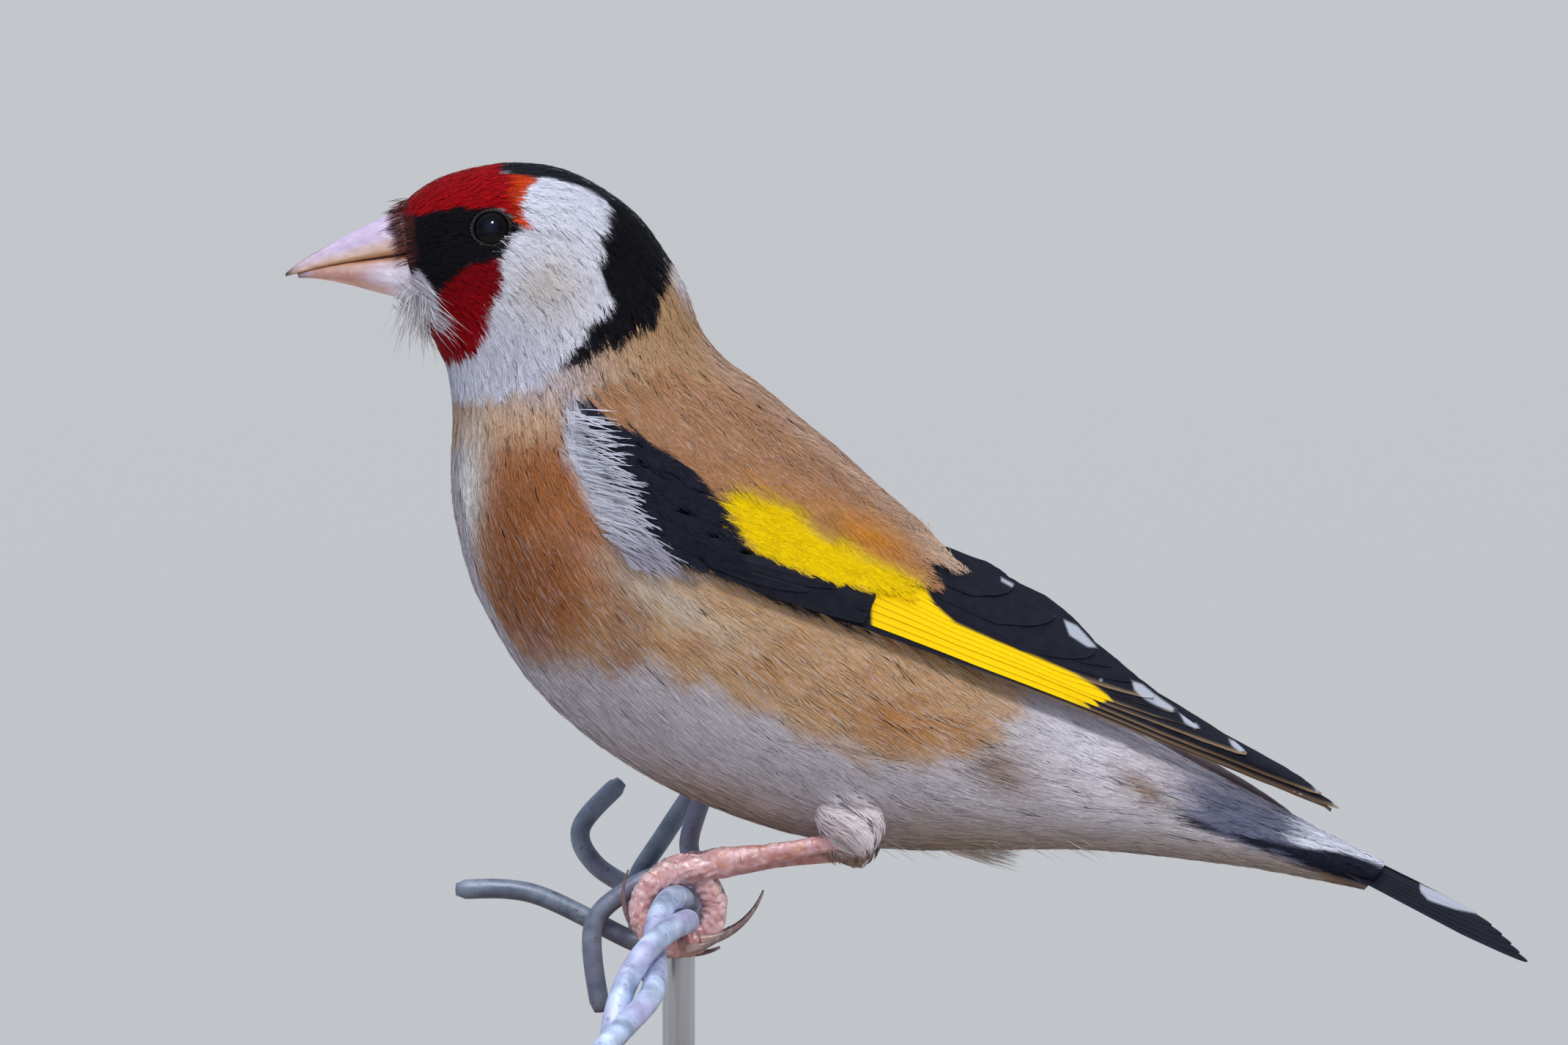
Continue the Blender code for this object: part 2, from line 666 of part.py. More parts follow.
def tail_vane(side, rank, holder, rows=6):
    """One tail feather. Rank 0 is a central one on top, and the last is the outermost and lowest."""
    t = rank / (TAIL_FEATHERS - 1)
    length = (between(*TAIL_TIP_X, t**0.8) - TAIL_ROOT[0]) / math.cos(TAIL_SLOPE)
    outer, inner = [], []
    for k in range(rows):
        u = 1 - (1 - k / (rows - 1)) ** 1.3
        y = between(0.9 + TAIL_ROOT_SPREAD * t, 1.1 + (TAIL_HALF_SPREAD - 2.4) * t, u)
        taper = min(1.0, 0.75 + u) * (min(1.0, ((1 - u) / 0.2) ** 0.5) if u < 1 else 0.0)
        taper = max(taper, 0.08)
        row_out, row_in = [], []
        for edge in (-1.3 * taper, 1.3 * taper):
            out = y + edge
            drop = TAIL_ROOF * (max(0.0, out) / TAIL_HALF_SPREAD) ** 1.3 + TAIL_STEP * rank - 0.15 * edge
            row_out.append(tail_point(length * u, side * out, drop))
            row_in.append(tail_point(length * u, side * out, drop + VANE_THICKNESS))
        outer.append(row_out)
        inner.append(row_in)
    return slab(f"rectrix_{side}_{rank}", outer, inner, holder)


def make_tail(parts):
    tail = body_loft("tail", TAIL_START, BODY_END, 9, parts)
    vanes = collection("tail_vanes")
    for side in (LEFT, RIGHT):
        for rank in range(TAIL_FEATHERS):
            tail_vane(side, rank, vanes)
    boolean(tail, vanes, "UNION", "MANIFOLD")
    body = collection("torso_cutter")
    body_loft("grown", 10.0, TAIL_START, 30, body, GAP)
    boolean(tail, body, "DIFFERENCE", "MANIFOLD")
    keep_largest(tail)
    finish(tail, "flight_black")


# Legs and feet

def wire_point(y):
    """Centre of the wire pair at a distance along it."""
    t = max(0.0, (DROOP_START - y) / (DROOP_START - WIRE_FRONT))
    return Vector((WIRE_X + WIRE_SWING * t**1.4, y, WIRE_Z - WIRE_DROP * t**1.5))


def around_wire(y, angle, radius):
    """A point round the wire: angle 0 is +X and 90 degrees is up."""
    return wire_point(y) + Vector((math.cos(angle), 0, math.sin(angle))) * radius


LEGS = {
    LEFT: {"thigh": (10.6, -7.6, 35.0), "ankle": (8.6, -8.0, 32.4), "knuckle": (-0.9, -6.5, 30.6)},
    RIGHT: {"thigh": (10.4, 7.6, 33.9), "ankle": (8.6, 8.0, 31.2), "knuckle": (-0.9, 6.5, 30.5)},
}
THIGH_RADII = (3.1, 2.9, 3.7)
PALM_AT, PALM_RADII, PALM_TURN = (-3.9, 30.0), (3.2, 1.9, 1.35), math.radians(-6)

# Toes: name, offset along the wire, start and end angle, claw's end angle, claw's reach, toe radius.
TOES = [
    ("inner", -2.7, 75.0, 245.0, 318.0, 1.6, 0.78),
    ("middle", 0.9, 75.0, 292.0, 372.0, 4.4, 0.85),
    ("outer", 2.8, 75.0, 268.0, 340.0, 1.4, 0.78),
    ("hind", -0.95, 62.0, -106.0, -218.0, 2.2, 0.88),
]


def toe_points(side, toe, count=12):
    _, offset, start, end, _, _, thick = toe
    points, radii = [], []
    for t in steps(0.0, 1.0, count):
        angle = math.radians(between(start, end, t))
        spread = min(1.0, t / 0.3)
        y = side * (FOOT_Y + offset * spread)
        joint = 1.0 + 0.10 * math.cos(t * math.pi * 7)
        points.append(around_wire(y, angle, TOE_PATH + 0.05))
        radii.append(thick * between(1.05, 0.82, t) * joint)
    return points, radii


def claw_points(side, toe, count=6):
    _, offset, _, end, last, reach, thick = toe
    y = side * (FOOT_Y + offset)
    points, radii = [], []
    start = end + math.copysign(16.0, last - end)
    for t in steps(0.0, 1.0, count):
        angle = math.radians(between(start, last, t))
        points.append(around_wire(y, angle, TOE_PATH + 0.05 + reach * t**1.3))
        radii.append(between(thick * 0.66, 0.1, t**0.8))
    return points, radii


def make_leg(side, parts):
    word = "left" if side == LEFT else "right"
    leg = LEGS[side]
    ankle, knuckle = Vector(leg["ankle"]), Vector(leg["knuckle"])
    shank = [ankle.lerp(knuckle, t) for t in (0.0, 0.3, 0.6, 0.85, 1.0)]
    widths = [1.0, 0.98, 1.03, 1.12, 1.2]

    thigh = ball(f"thigh_{word}", leg["thigh"], THIGH_RADII, math.radians(-20), parts, 18, 11)
    cutters = collection("thigh_cutters")
    grown_body("grown", cutters)
    tube("grown_shank", shank, [w + GAP for w in widths], cutters)
    boolean(thigh, cutters, "DIFFERENCE", "EXACT")
    keep_largest(thigh)
    finish(thigh, "plumage_pale")

    tarsus = tube(f"tarsus_{word}", shank, widths, parts)
    finish(tarsus, "leg_skin")

    toes = collection("toes")
    palm = (PALM_AT[0], side * FOOT_Y, PALM_AT[1])
    foot = ball(f"foot_{word}", palm, PALM_RADII, PALM_TURN, parts, 14, 8)
    for toe in TOES:
        tube(toe[0], *toe_points(side, toe), toes)
    boolean(foot, toes, "UNION", "EXACT")
    cutters = collection("foot_cutters")
    tube("grown_shank", shank, [w + GAP for w in widths], cutters)
    strand_cutter(cutters)
    for toe in TOES:
        points, radii = claw_points(side, toe)
        tube("grown_claw", points, [r + GAP for r in radii], cutters, sides=8)
    boolean(foot, cutters, "DIFFERENCE", "EXACT")
    keep_largest(foot)
    finish(foot, "leg_skin")

    for toe in TOES:
        claw = tube(f"claw_{word}_{toe[0]}", *claw_points(side, toe), parts, sides=6)
        finish(claw, "claw_horn")


# Perch

def strand_cutter(holder):
    """A round core just larger than both strands, which keeps the toes clear of the wire."""
    ys = steps(13.0, -13.0, 9)
    radius = STRAND_OFFSET + STRAND_RADIUS + GAP
    tube("grown_wire", [wire_point(y) for y in ys], [radius] * len(ys), holder, sides=16)


def make_strands(parts):
    for n in range(2):
        points = []
        for y in steps(WIRE_BACK, WIRE_FRONT, STRAND_STEPS):
            slope = (wire_point(y - 0.1) - wire_point(y + 0.1)).normalized()
            across = slope.cross(Vector((0, 0, 1))).normalized()
            above = across.cross(slope)
            angle = STRAND_PHASE + 2 * math.pi * y / STRAND_PITCH + math.pi * n
            points.append(wire_point(y) + (across * math.cos(angle) + above * math.sin(angle)) * STRAND_OFFSET)
        strand = tube(f"perch_strand_{n + 1}", points, [STRAND_RADIUS] * len(points), parts)
        finish(strand, "wire_zinc")


def arm(points, count):
    """A bent arm of a barb: a smooth line from the coil through the given points."""
    rows = [tuple(p) for p in points]
    return [Vector(smooth_row(rows, place)) for place in steps(0.0, len(rows) - 1.0, count)][1:]


def make_barb(name, ys, angles, first_arm, last_arm, parts):
    """A barb: a coil round both strands whose two ends reach out to cut points."""
    coil = [around_wire(between(*ys, t), math.radians(between(*angles, t)), BARB_COIL)
            for t in steps(0.0, 1.0, COIL_STEPS)]
    head = arm([coil[0], *first_arm], ARM_STEPS)
    tail = arm([coil[-1], *last_arm], ARM_STEPS)
    points = list(reversed(head)) + coil + tail
    barb = tube(name, points, [BARB_RADIUS] * len(points), parts)
    finish(barb, "wire_zinc")


def make_perch(parts):
    make_strands(parts)
    make_barb(
        "perch_barb_1", (-1.1, 1.1), (100.0, -95.0),
        [(-9.2, -1.3, 28.3), (-12.7, -1.4, 24.7), (-12.0, -1.6, 17.0)],
        [(-8.8, 1.3, 23.3), (-18.1, 1.5, 27.7), (-25.2, 1.6, 28.1)], parts,
    )
    make_barb(
        "perch_barb_2", (12.4, 15.4), (62.0, -200.0),
        [(-4.0, 12.2, 32.4), (-2.6, 12.0, 37.0)],
        [(-12.6, 15.9, 30.2), (-13.9, 16.2, 33.6), (-10.2, 16.4, 37.8)], parts,
    )
    make_barb(
        "perch_barb_3", (17.7, 19.6), (170.0, -170.0),
        [(-8.7, 17.4, 23.6), (-7.8, 17.2, 19.6)],
        [(-8.9, 19.9, 28.6), (-6.2, 20.2, 33.0), (-3.0, 20.4, 37.8)], parts,
    )


# Stand

def make_stand(parts):
    bpy.ops.mesh.primitive_cylinder_add(
        vertices=48, radius=BASE_RADIUS * MM, depth=BASE_HEIGHT * MM, location=(0, 0, BASE_HEIGHT / 2 * MM),
    )
    base = move_to(bpy.context.object, "stand_base", parts)
    edge = base.modifiers.new("edge", "BEVEL")
    edge.width = BASE_BEVEL * MM
    edge.segments = 1
    edge.limit_method = "ANGLE"
    finish(base, "stand_wood")
    for name, y in (("stand_rod_back", ROD_BACK_Y), ("stand_rod_front", ROD_FRONT_Y)):
        centre = wire_point(y)
        top = centre.z - STRAND_OFFSET - STRAND_RADIUS - GAP
        bottom = BASE_HEIGHT + GAP
        bpy.ops.mesh.primitive_cylinder_add(
            vertices=20, radius=ROD_RADIUS * MM, depth=(top - bottom) * MM,
            location=(centre.x * MM, y * MM, (top + bottom) / 2 * MM),
        )
        rod = move_to(bpy.context.object, name, parts)
        slope = (wire_point(y + 1).z - wire_point(y - 1).z) / 2
        for vertex in rod.data.vertices:
            if vertex.co.z > 0:
                vertex.co.z += slope * vertex.co.y - 0.25 * abs(slope) * MM
        finish(rod, "stand_steel")


def main():
    clear_scene()
    parts = collection("goldfinch")
    make_head(parts)
    make_neck_and_torso(parts)
    make_bill(parts)
    for side in (LEFT, RIGHT):
        make_eye(side, parts)
        make_wing(side, parts)
        make_leg(side, parts)
    make_tail(parts)
    make_perch(parts)
    make_stand(parts)


main()
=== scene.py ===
"""The looks of a life-size goldfinch on its cut length of twisted wire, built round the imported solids.

Lengths are millimetres of the real bird, and MM turns them into metres. The bird faces -X, its left side
faces -Y and up is +Z. Body places are a fractional station along BODY and an angle round it, 0 on the back.
"""

import math

import bmesh
import bpy
import numpy as np
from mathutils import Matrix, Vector


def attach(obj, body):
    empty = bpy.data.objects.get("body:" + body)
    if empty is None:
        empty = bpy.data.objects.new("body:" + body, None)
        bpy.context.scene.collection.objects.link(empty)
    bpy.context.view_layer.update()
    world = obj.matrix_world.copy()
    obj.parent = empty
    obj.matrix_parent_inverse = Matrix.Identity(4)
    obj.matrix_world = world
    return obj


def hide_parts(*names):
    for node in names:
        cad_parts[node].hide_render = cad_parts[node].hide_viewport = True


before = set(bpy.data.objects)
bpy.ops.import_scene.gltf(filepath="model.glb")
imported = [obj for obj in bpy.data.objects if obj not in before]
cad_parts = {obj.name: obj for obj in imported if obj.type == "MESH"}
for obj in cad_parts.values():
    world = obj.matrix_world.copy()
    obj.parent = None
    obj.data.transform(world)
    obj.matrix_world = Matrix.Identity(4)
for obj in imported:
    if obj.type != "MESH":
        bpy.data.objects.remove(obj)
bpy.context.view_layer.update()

MM = 0.001
LEFT, RIGHT = -1, 1
rng = np.random.default_rng(20)

# Body sections from the bill's base to the tip of the tail coverts: back point, belly point, half width.
BODY = [
    ((-30.3, 89.9), (-28.9, 81.6), 3.8),
    ((-29.1, 91.4), (-28.3, 80.2), 5.0),
    ((-26.7, 92.9), (-27.4, 78.5), 6.4),
    ((-23.3, 93.9), (-26.7, 77.0), 7.5),
    ((-19.7, 94.3), (-26.1, 75.7), 8.2),
    ((-15.7, 93.8), (-25.8, 74.3), 8.7),
    ((-12.0, 92.1), (-25.6, 72.7), 9.0),
    ((-8.5, 89.4), (-25.5, 70.7), 9.3),
    ((-6.0, 86.0), (-25.6, 68.5), 9.7),
    ((-4.1, 82.7), (-25.7, 66.0), 10.4),
    ((-2.9, 79.3), (-25.5, 63.0), 11.4),
    ((-0.7, 76.5), (-24.9, 59.9), 12.5),
    ((2.7, 74.0), (-23.9, 56.3), 13.6),
    ((6.3, 71.0), (-22.2, 52.8), 14.6),
    ((10.0, 68.0), (-19.8, 48.7), 15.2),
    ((13.7, 64.6), (-16.2, 44.5), 15.4),
    ((17.5, 61.3), (-11.2, 40.5), 15.1),
    ((21.4, 56.7), (-5.2, 37.0), 14.2),
    ((25.6, 51.8), (1.5, 34.3), 12.8),
    ((30.2, 47.5), (8.3, 32.5), 11.1),
    ((35.3, 43.7), (15.7, 31.7), 9.2),
    ((40.4, 40.6), (23.7, 31.7), 7.5),
    ((45.3, 38.0), (32.3, 31.7), 6.1),
    ((49.7, 35.7), (40.7, 30.9), 5.5),
    ((53.3, 33.8), (48.0, 29.9), 5.5),
    ((56.7, 32.0), (53.3, 28.9), 5.4),
    ((59.4, 30.6), (57.4, 28.1), 4.8),
]
FULLNESS = 0.92
BODY_END = 26.0

# Soft swellings and hollows of the sides: centre x and z, the two radii, turn in degrees, height.
SWELLINGS = [
    (-22.3, 88.4, 2.9, 2.5, 0.0, -0.55),
    (-26.8, 87.0, 2.4, 2.6, 0.0, -0.30),
    (-16.5, 82.5, 5.5, 5.0, -20.0, 0.60),
    (-20.0, 91.6, 4.5, 1.6, 0.0, 0.25),
    (5.5, 65.5, 15.0, 3.6, -35.0, 1.10),
    (7.0, 55.2, 14.0, 3.2, -24.0, -0.60),
]

EYE_AT = (-21.9, 88.2)
EYE_RADIUS = 2.15
EYE_DEPTH = 1.55
LID_RADIUS, LID_RING = 1.78, 1.68


# Numbers

def between(a, b, t):
    return a + (b - a) * t


def smooth_step(low, high, value):
    t = np.clip((value - low) / (high - low), 0.0, 1.0)
    return t * t * (3 - 2 * t)


def smooth_rows(rows, place):
    """Catmull-Rom values of rows of numbers at fractional row indices."""
    rows = np.asarray(rows, float)
    place = np.asarray(place, float)
    last = len(rows) - 1
    k = np.clip(place.astype(int), 0, last - 1)
    t = (place - k)[..., None]
    a, b, c, d = (rows[np.clip(k + shift, 0, last)] for shift in (-1, 0, 1, 2))
    return 0.5 * (2 * b + (c - a) * t + (2 * a - 5 * b + 4 * c - d) * t**2 + (3 * b - a - 3 * c + d) * t**3)


def smooth_line(points, count):
    return smooth_rows(points, np.linspace(0, len(points) - 1.0, count))


def unit(v):
    return v / np.maximum(np.linalg.norm(v, axis=-1, keepdims=True), 1e-9)


WAVES = [(rng.normal(size=3), rng.uniform(0, 2 * math.pi)) for _ in range(24)]


def wobble(p, size, kind=0):
    """A smooth wandering value about 0, within about 1, over points p, that changes over the given length."""
    total = 0.0
    for direction, phase in WAVES[kind * 6:kind * 6 + 6]:
        total = total + np.sin(p @ (direction * 2.2 / size) + phase)
    return total / 3.5


# The body's surface

BODY_ROWS = np.array([(*back, *belly, width) for back, belly, width in BODY])


def swelling(x, z):
    total = 0.0
    for cx, cz, along, across, turn, height in SWELLINGS:
        a = math.radians(turn)
        u = ((x - cx) * math.cos(a) + (z - cz) * math.sin(a)) / along
        v = ((z - cz) * math.cos(a) - (x - cx) * math.sin(a)) / across
        total = total + height * np.exp(-(u * u + v * v))
    return total


def body_point(place, angle, depth=0.0):
    """Points of the body's outer surface, or that far under it."""
    bx, bz, vx, vz, width = np.moveaxis(smooth_rows(BODY_ROWS, place), -1, 0)
    hx, hz = (bx - vx) / 2, (bz - vz) / 2
    scale = 1 - depth / np.hypot(hx, hz)
    side, rise = np.sin(angle), np.cos(angle)
    x = (bx + vx) / 2 + hx * scale * rise
    z = (bz + vz) / 2 + hz * scale * rise
    out = (width * np.abs(side) ** FULLNESS + (swelling(x, z) - depth) * np.abs(side)) * np.sign(side)
    return np.stack([x, out, z], -1)


def body_frame(place, angle):
    """Steps of the surface per station and per radian, and its outward direction."""
    d = 0.02
    along = (body_point(np.minimum(place + d, BODY_END), angle) - body_point(place - d, angle)) / (2 * d)
    around = (body_point(place, angle + d) - body_point(place, angle - d)) / (2 * d)
    return along, around, unit(np.cross(along, around))


def station_at(x, z):
    """The fractional station whose section passes a place in the side view, and the cosine of its angle."""
    low, high = np.zeros_like(x), np.full_like(x, BODY_END)
    for _ in range(26):
        place = (low + high) / 2
        bx, bz, vx, vz, width = np.moveaxis(smooth_rows(BODY_ROWS, place), -1, 0)
        beyond = (x - vx) * (bz - vz) - (z - vz) * (bx - vx) > 0
        low, high = np.where(beyond, place, low), np.where(beyond, high, place)
    reach = ((x - vx) * (bx - vx) + (z - vz) * (bz - vz)) / ((bx - vx) ** 2 + (bz - vz) ** 2)
    return place, np.clip(2 * reach - 1, -1, 1), width


def body_side(x, z):
    """Distance of the body's side from the midline at places in the side view."""
    place, rise, width = station_at(x, z)
    side = np.sqrt(1 - rise * rise)
    return width * side**FULLNESS + swelling(x, z) * side


# Marks of the plumage: outlines in the side view, and the colours between them.

RED = (0.32, 0.0012, 0.005)
RED_DEEP = (0.17, 0.0008, 0.004)
ORANGE_RED = (0.60, 0.060, 0.008)
BLACK = (0.0055, 0.0055, 0.0085)
WHITE = (0.72, 0.73, 0.83)
BUFF = (0.56, 0.47, 0.39)
TAN = (0.385, 0.195, 0.100)
HIND_NECK = (0.46, 0.275, 0.145)
RUFOUS = (0.37, 0.115, 0.030)
GOLDEN = (0.50, 0.255, 0.095)
FLANK = (0.54, 0.325, 0.165)
FLANK_DEEP = (0.46, 0.205, 0.070)
BELLY = (0.57, 0.525, 0.57)
VENT = (0.40, 0.31, 0.225)
RUMP_BROWN = (0.19, 0.105, 0.058)
GREY_COVERT = (0.135, 0.142, 0.215)
YELLOW = (0.86, 0.595, 0.0010)
ORANGE_TINT = (0.60, 0.24, 0.030)
WING_BLACK = (0.014, 0.016, 0.028)

RED_CAP = [
    (-32.5, 89.3), (-32.0, 93.0), (-27.0, 97.0), (-21.6, 97.0), (-21.0, 93.9), (-20.4, 93.2), (-19.4, 92.8),
    (-17.5, 92.6), (-18.3, 91.7), (-19.1, 90.4), (-18.7, 89.1), (-17.8, 88.1), (-18.9, 87.9), (-19.6, 88.6),
    (-20.2, 89.3), (-21.0, 89.8), (-22.5, 89.5), (-24.0, 89.2), (-24.9, 89.3), (-26.2, 89.1), (-27.7, 88.7),
    (-28.9, 88.5), (-29.8, 88.5),
]
RED_BIB = [
    (-25.9, 83.8), (-24.9, 84.4), (-23.7, 85.4), (-22.5, 85.6), (-21.0, 85.8), (-20.6, 84.7), (-20.9, 82.9),
    (-21.7, 81.0), (-22.3, 78.9), (-23.2, 76.9), (-24.6, 76.1), (-27.0, 75.4), (-30.0, 76.0), (-32.5, 79.0),
    (-31.5, 83.0), (-28.6, 83.0), (-27.0, 82.3), (-26.5, 82.6),
]
BLACK_MASK = [
    (-32.0, 89.3), (-28.9, 89.3), (-27.7, 89.5), (-26.2, 90.0), (-24.9, 90.2), (-24.0, 90.0), (-22.5, 90.2),
    (-21.0, 90.1), (-20.0, 89.5), (-19.4, 88.8), (-18.8, 88.0), (-19.4, 87.4), (-20.2, 86.3), (-21.0, 85.4),
    (-22.5, 84.9), (-23.7, 84.6), (-24.9, 83.9), (-25.9, 83.4), (-26.3, 82.4), (-26.8, 81.9), (-27.4, 82.3),
    (-29.5, 82.2), (-32.0, 83.0),
]
CROWN_BLACK = [
    (-22.4, 93.2), (-22.4, 97.0), (-15.0, 97.0), (-8.0, 93.0), (-9.6, 90.5), (-10.9, 90.5), (-12.3, 91.4),
    (-13.5, 91.9), (-14.9, 92.2), (-16.4, 92.7), (-18.0, 92.9), (-19.6, 92.9),
]
NAPE_BLACK = [
    (-10.9, 91.0), (-11.4, 89.7), (-11.2, 88.3), (-11.7, 86.6), (-11.5, 84.4), (-11.2, 82.9), (-10.9, 81.6),
    (-11.6, 80.2), (-12.5, 79.1), (-13.3, 77.8), (-14.3, 76.5), (-16.3, 74.7), (-14.3, 75.0), (-12.8, 75.8),
    (-11.2, 76.7), (-9.7, 77.4), (-8.4, 78.1), (-7.3, 79.4), (-6.5, 80.9), (-5.9, 82.1), (-5.5, 83.3),
    (-5.2, 84.8), (-3.5, 86.6), (-6.0, 91.0), (-8.5, 93.0),
]
WHITE_FACE = [
    (-34.0, 98.0), (-7.0, 98.0), (-7.0, 88.0), (-8.0, 82.0), (-10.0, 78.5), (-14.2, 75.7), (-16.5, 74.2),
    (-19.4, 72.9), (-22.5, 72.1), (-25.5, 72.0), (-29.0, 71.6), (-34.0, 76.0),
]
WHITE_UNDER = [
    (-28.0, 68.6), (-25.4, 66.8), (-24.2, 64.0), (-24.2, 60.5), (-23.9, 56.4), (-23.0, 52.2), (-20.4, 48.6),
    (-15.5, 47.9), (-11.3, 48.2), (-6.7, 47.6), (-1.3, 45.6), (4.0, 43.6), (8.7, 41.4), (14.0, 39.6), (19.3, 39.6),
    (22.7, 41.0), (25.3, 43.0), (28.0, 45.6), (33.0, 45.6), (40.0, 42.5), (46.7, 38.3), (53.3, 33.7),
    (62.0, 28.5), (56.0, 22.0), (20.0, 24.0), (-6.7, 28.0), (-32.0, 46.0), (-34.0, 64.0),
]
SIDE_PATCH = [
    (-21.0, 69.2), (-18.0, 70.0), (-14.4, 68.5), (-12.0, 65.0), (-11.2, 61.0), (-11.8, 56.0), (-13.3, 51.8),
    (-17.3, 49.6), (-21.2, 50.6), (-22.8, 55.6), (-23.2, 60.5), (-23.0, 65.6),
]
TAIL_SIDE = [
    (39.9, 35.8), (42.1, 34.3), (45.9, 33.0), (51.2, 32.2), (55.3, 31.5), (57.5, 30.9), (61.0, 29.6), (61.0, 27.2),
    (55.5, 29.0), (53.4, 29.8), (50.4, 31.2), (47.4, 32.3), (44.4, 33.2), (42.1, 33.8),
]
WHISKERS = [
    (-32.0, 85.4), (-29.8, 85.2), (-28.5, 84.2), (-27.3, 82.5), (-25.6, 79.4), (-26.0, 78.8), (-28.4, 80.2),
    (-32.0, 80.6),
]
FRINGE = [
    (-15.0, 72.2), (-13.4, 71.6), (-11.5, 67.8), (-8.2, 62.6), (-4.6, 58.4), (-3.6, 56.8), (-6.0, 57.0),
    (-9.5, 58.8), (-12.6, 62.4), (-14.8, 67.0),
]


def edge_distance(outline, x, z):
    """Distance in the side view to a closed outline, above 0 inside it."""
    x, z = x[..., None], z[..., None]
    a = np.array(outline, float)
    b = np.roll(a, -1, 0)
    dx, dz = (b - a).T
    t = np.clip(((x - a[:, 0]) * dx + (z - a[:, 1]) * dz) / (dx * dx + dz * dz), 0, 1)
    away = np.hypot(x - a[:, 0] - t * dx, z - a[:, 1] - t * dz).min(-1)
    spans = (a[:, 1] > z) != (b[:, 1] > z)
    crossings = x < a[:, 0] + dx * (z - a[:, 1]) / np.where(dz == 0, 1e-9, dz)
    return away * np.where((spans & crossings).sum(-1) % 2 == 1, 1.0, -1.0)


def painted(colour, tint, share):
    return colour + (np.array(tint) - colour) * share[..., None]


def blob(x, z, cx, cz, rx, rz, turn=0.0):
    a = math.radians(turn)
    u = ((x - cx) * math.cos(a) + (z - cz) * math.sin(a)) / rx
    v = ((z - cz) * math.cos(a) - (x - cx) * math.sin(a)) / rz
    return np.exp(-(u * u + v * v))


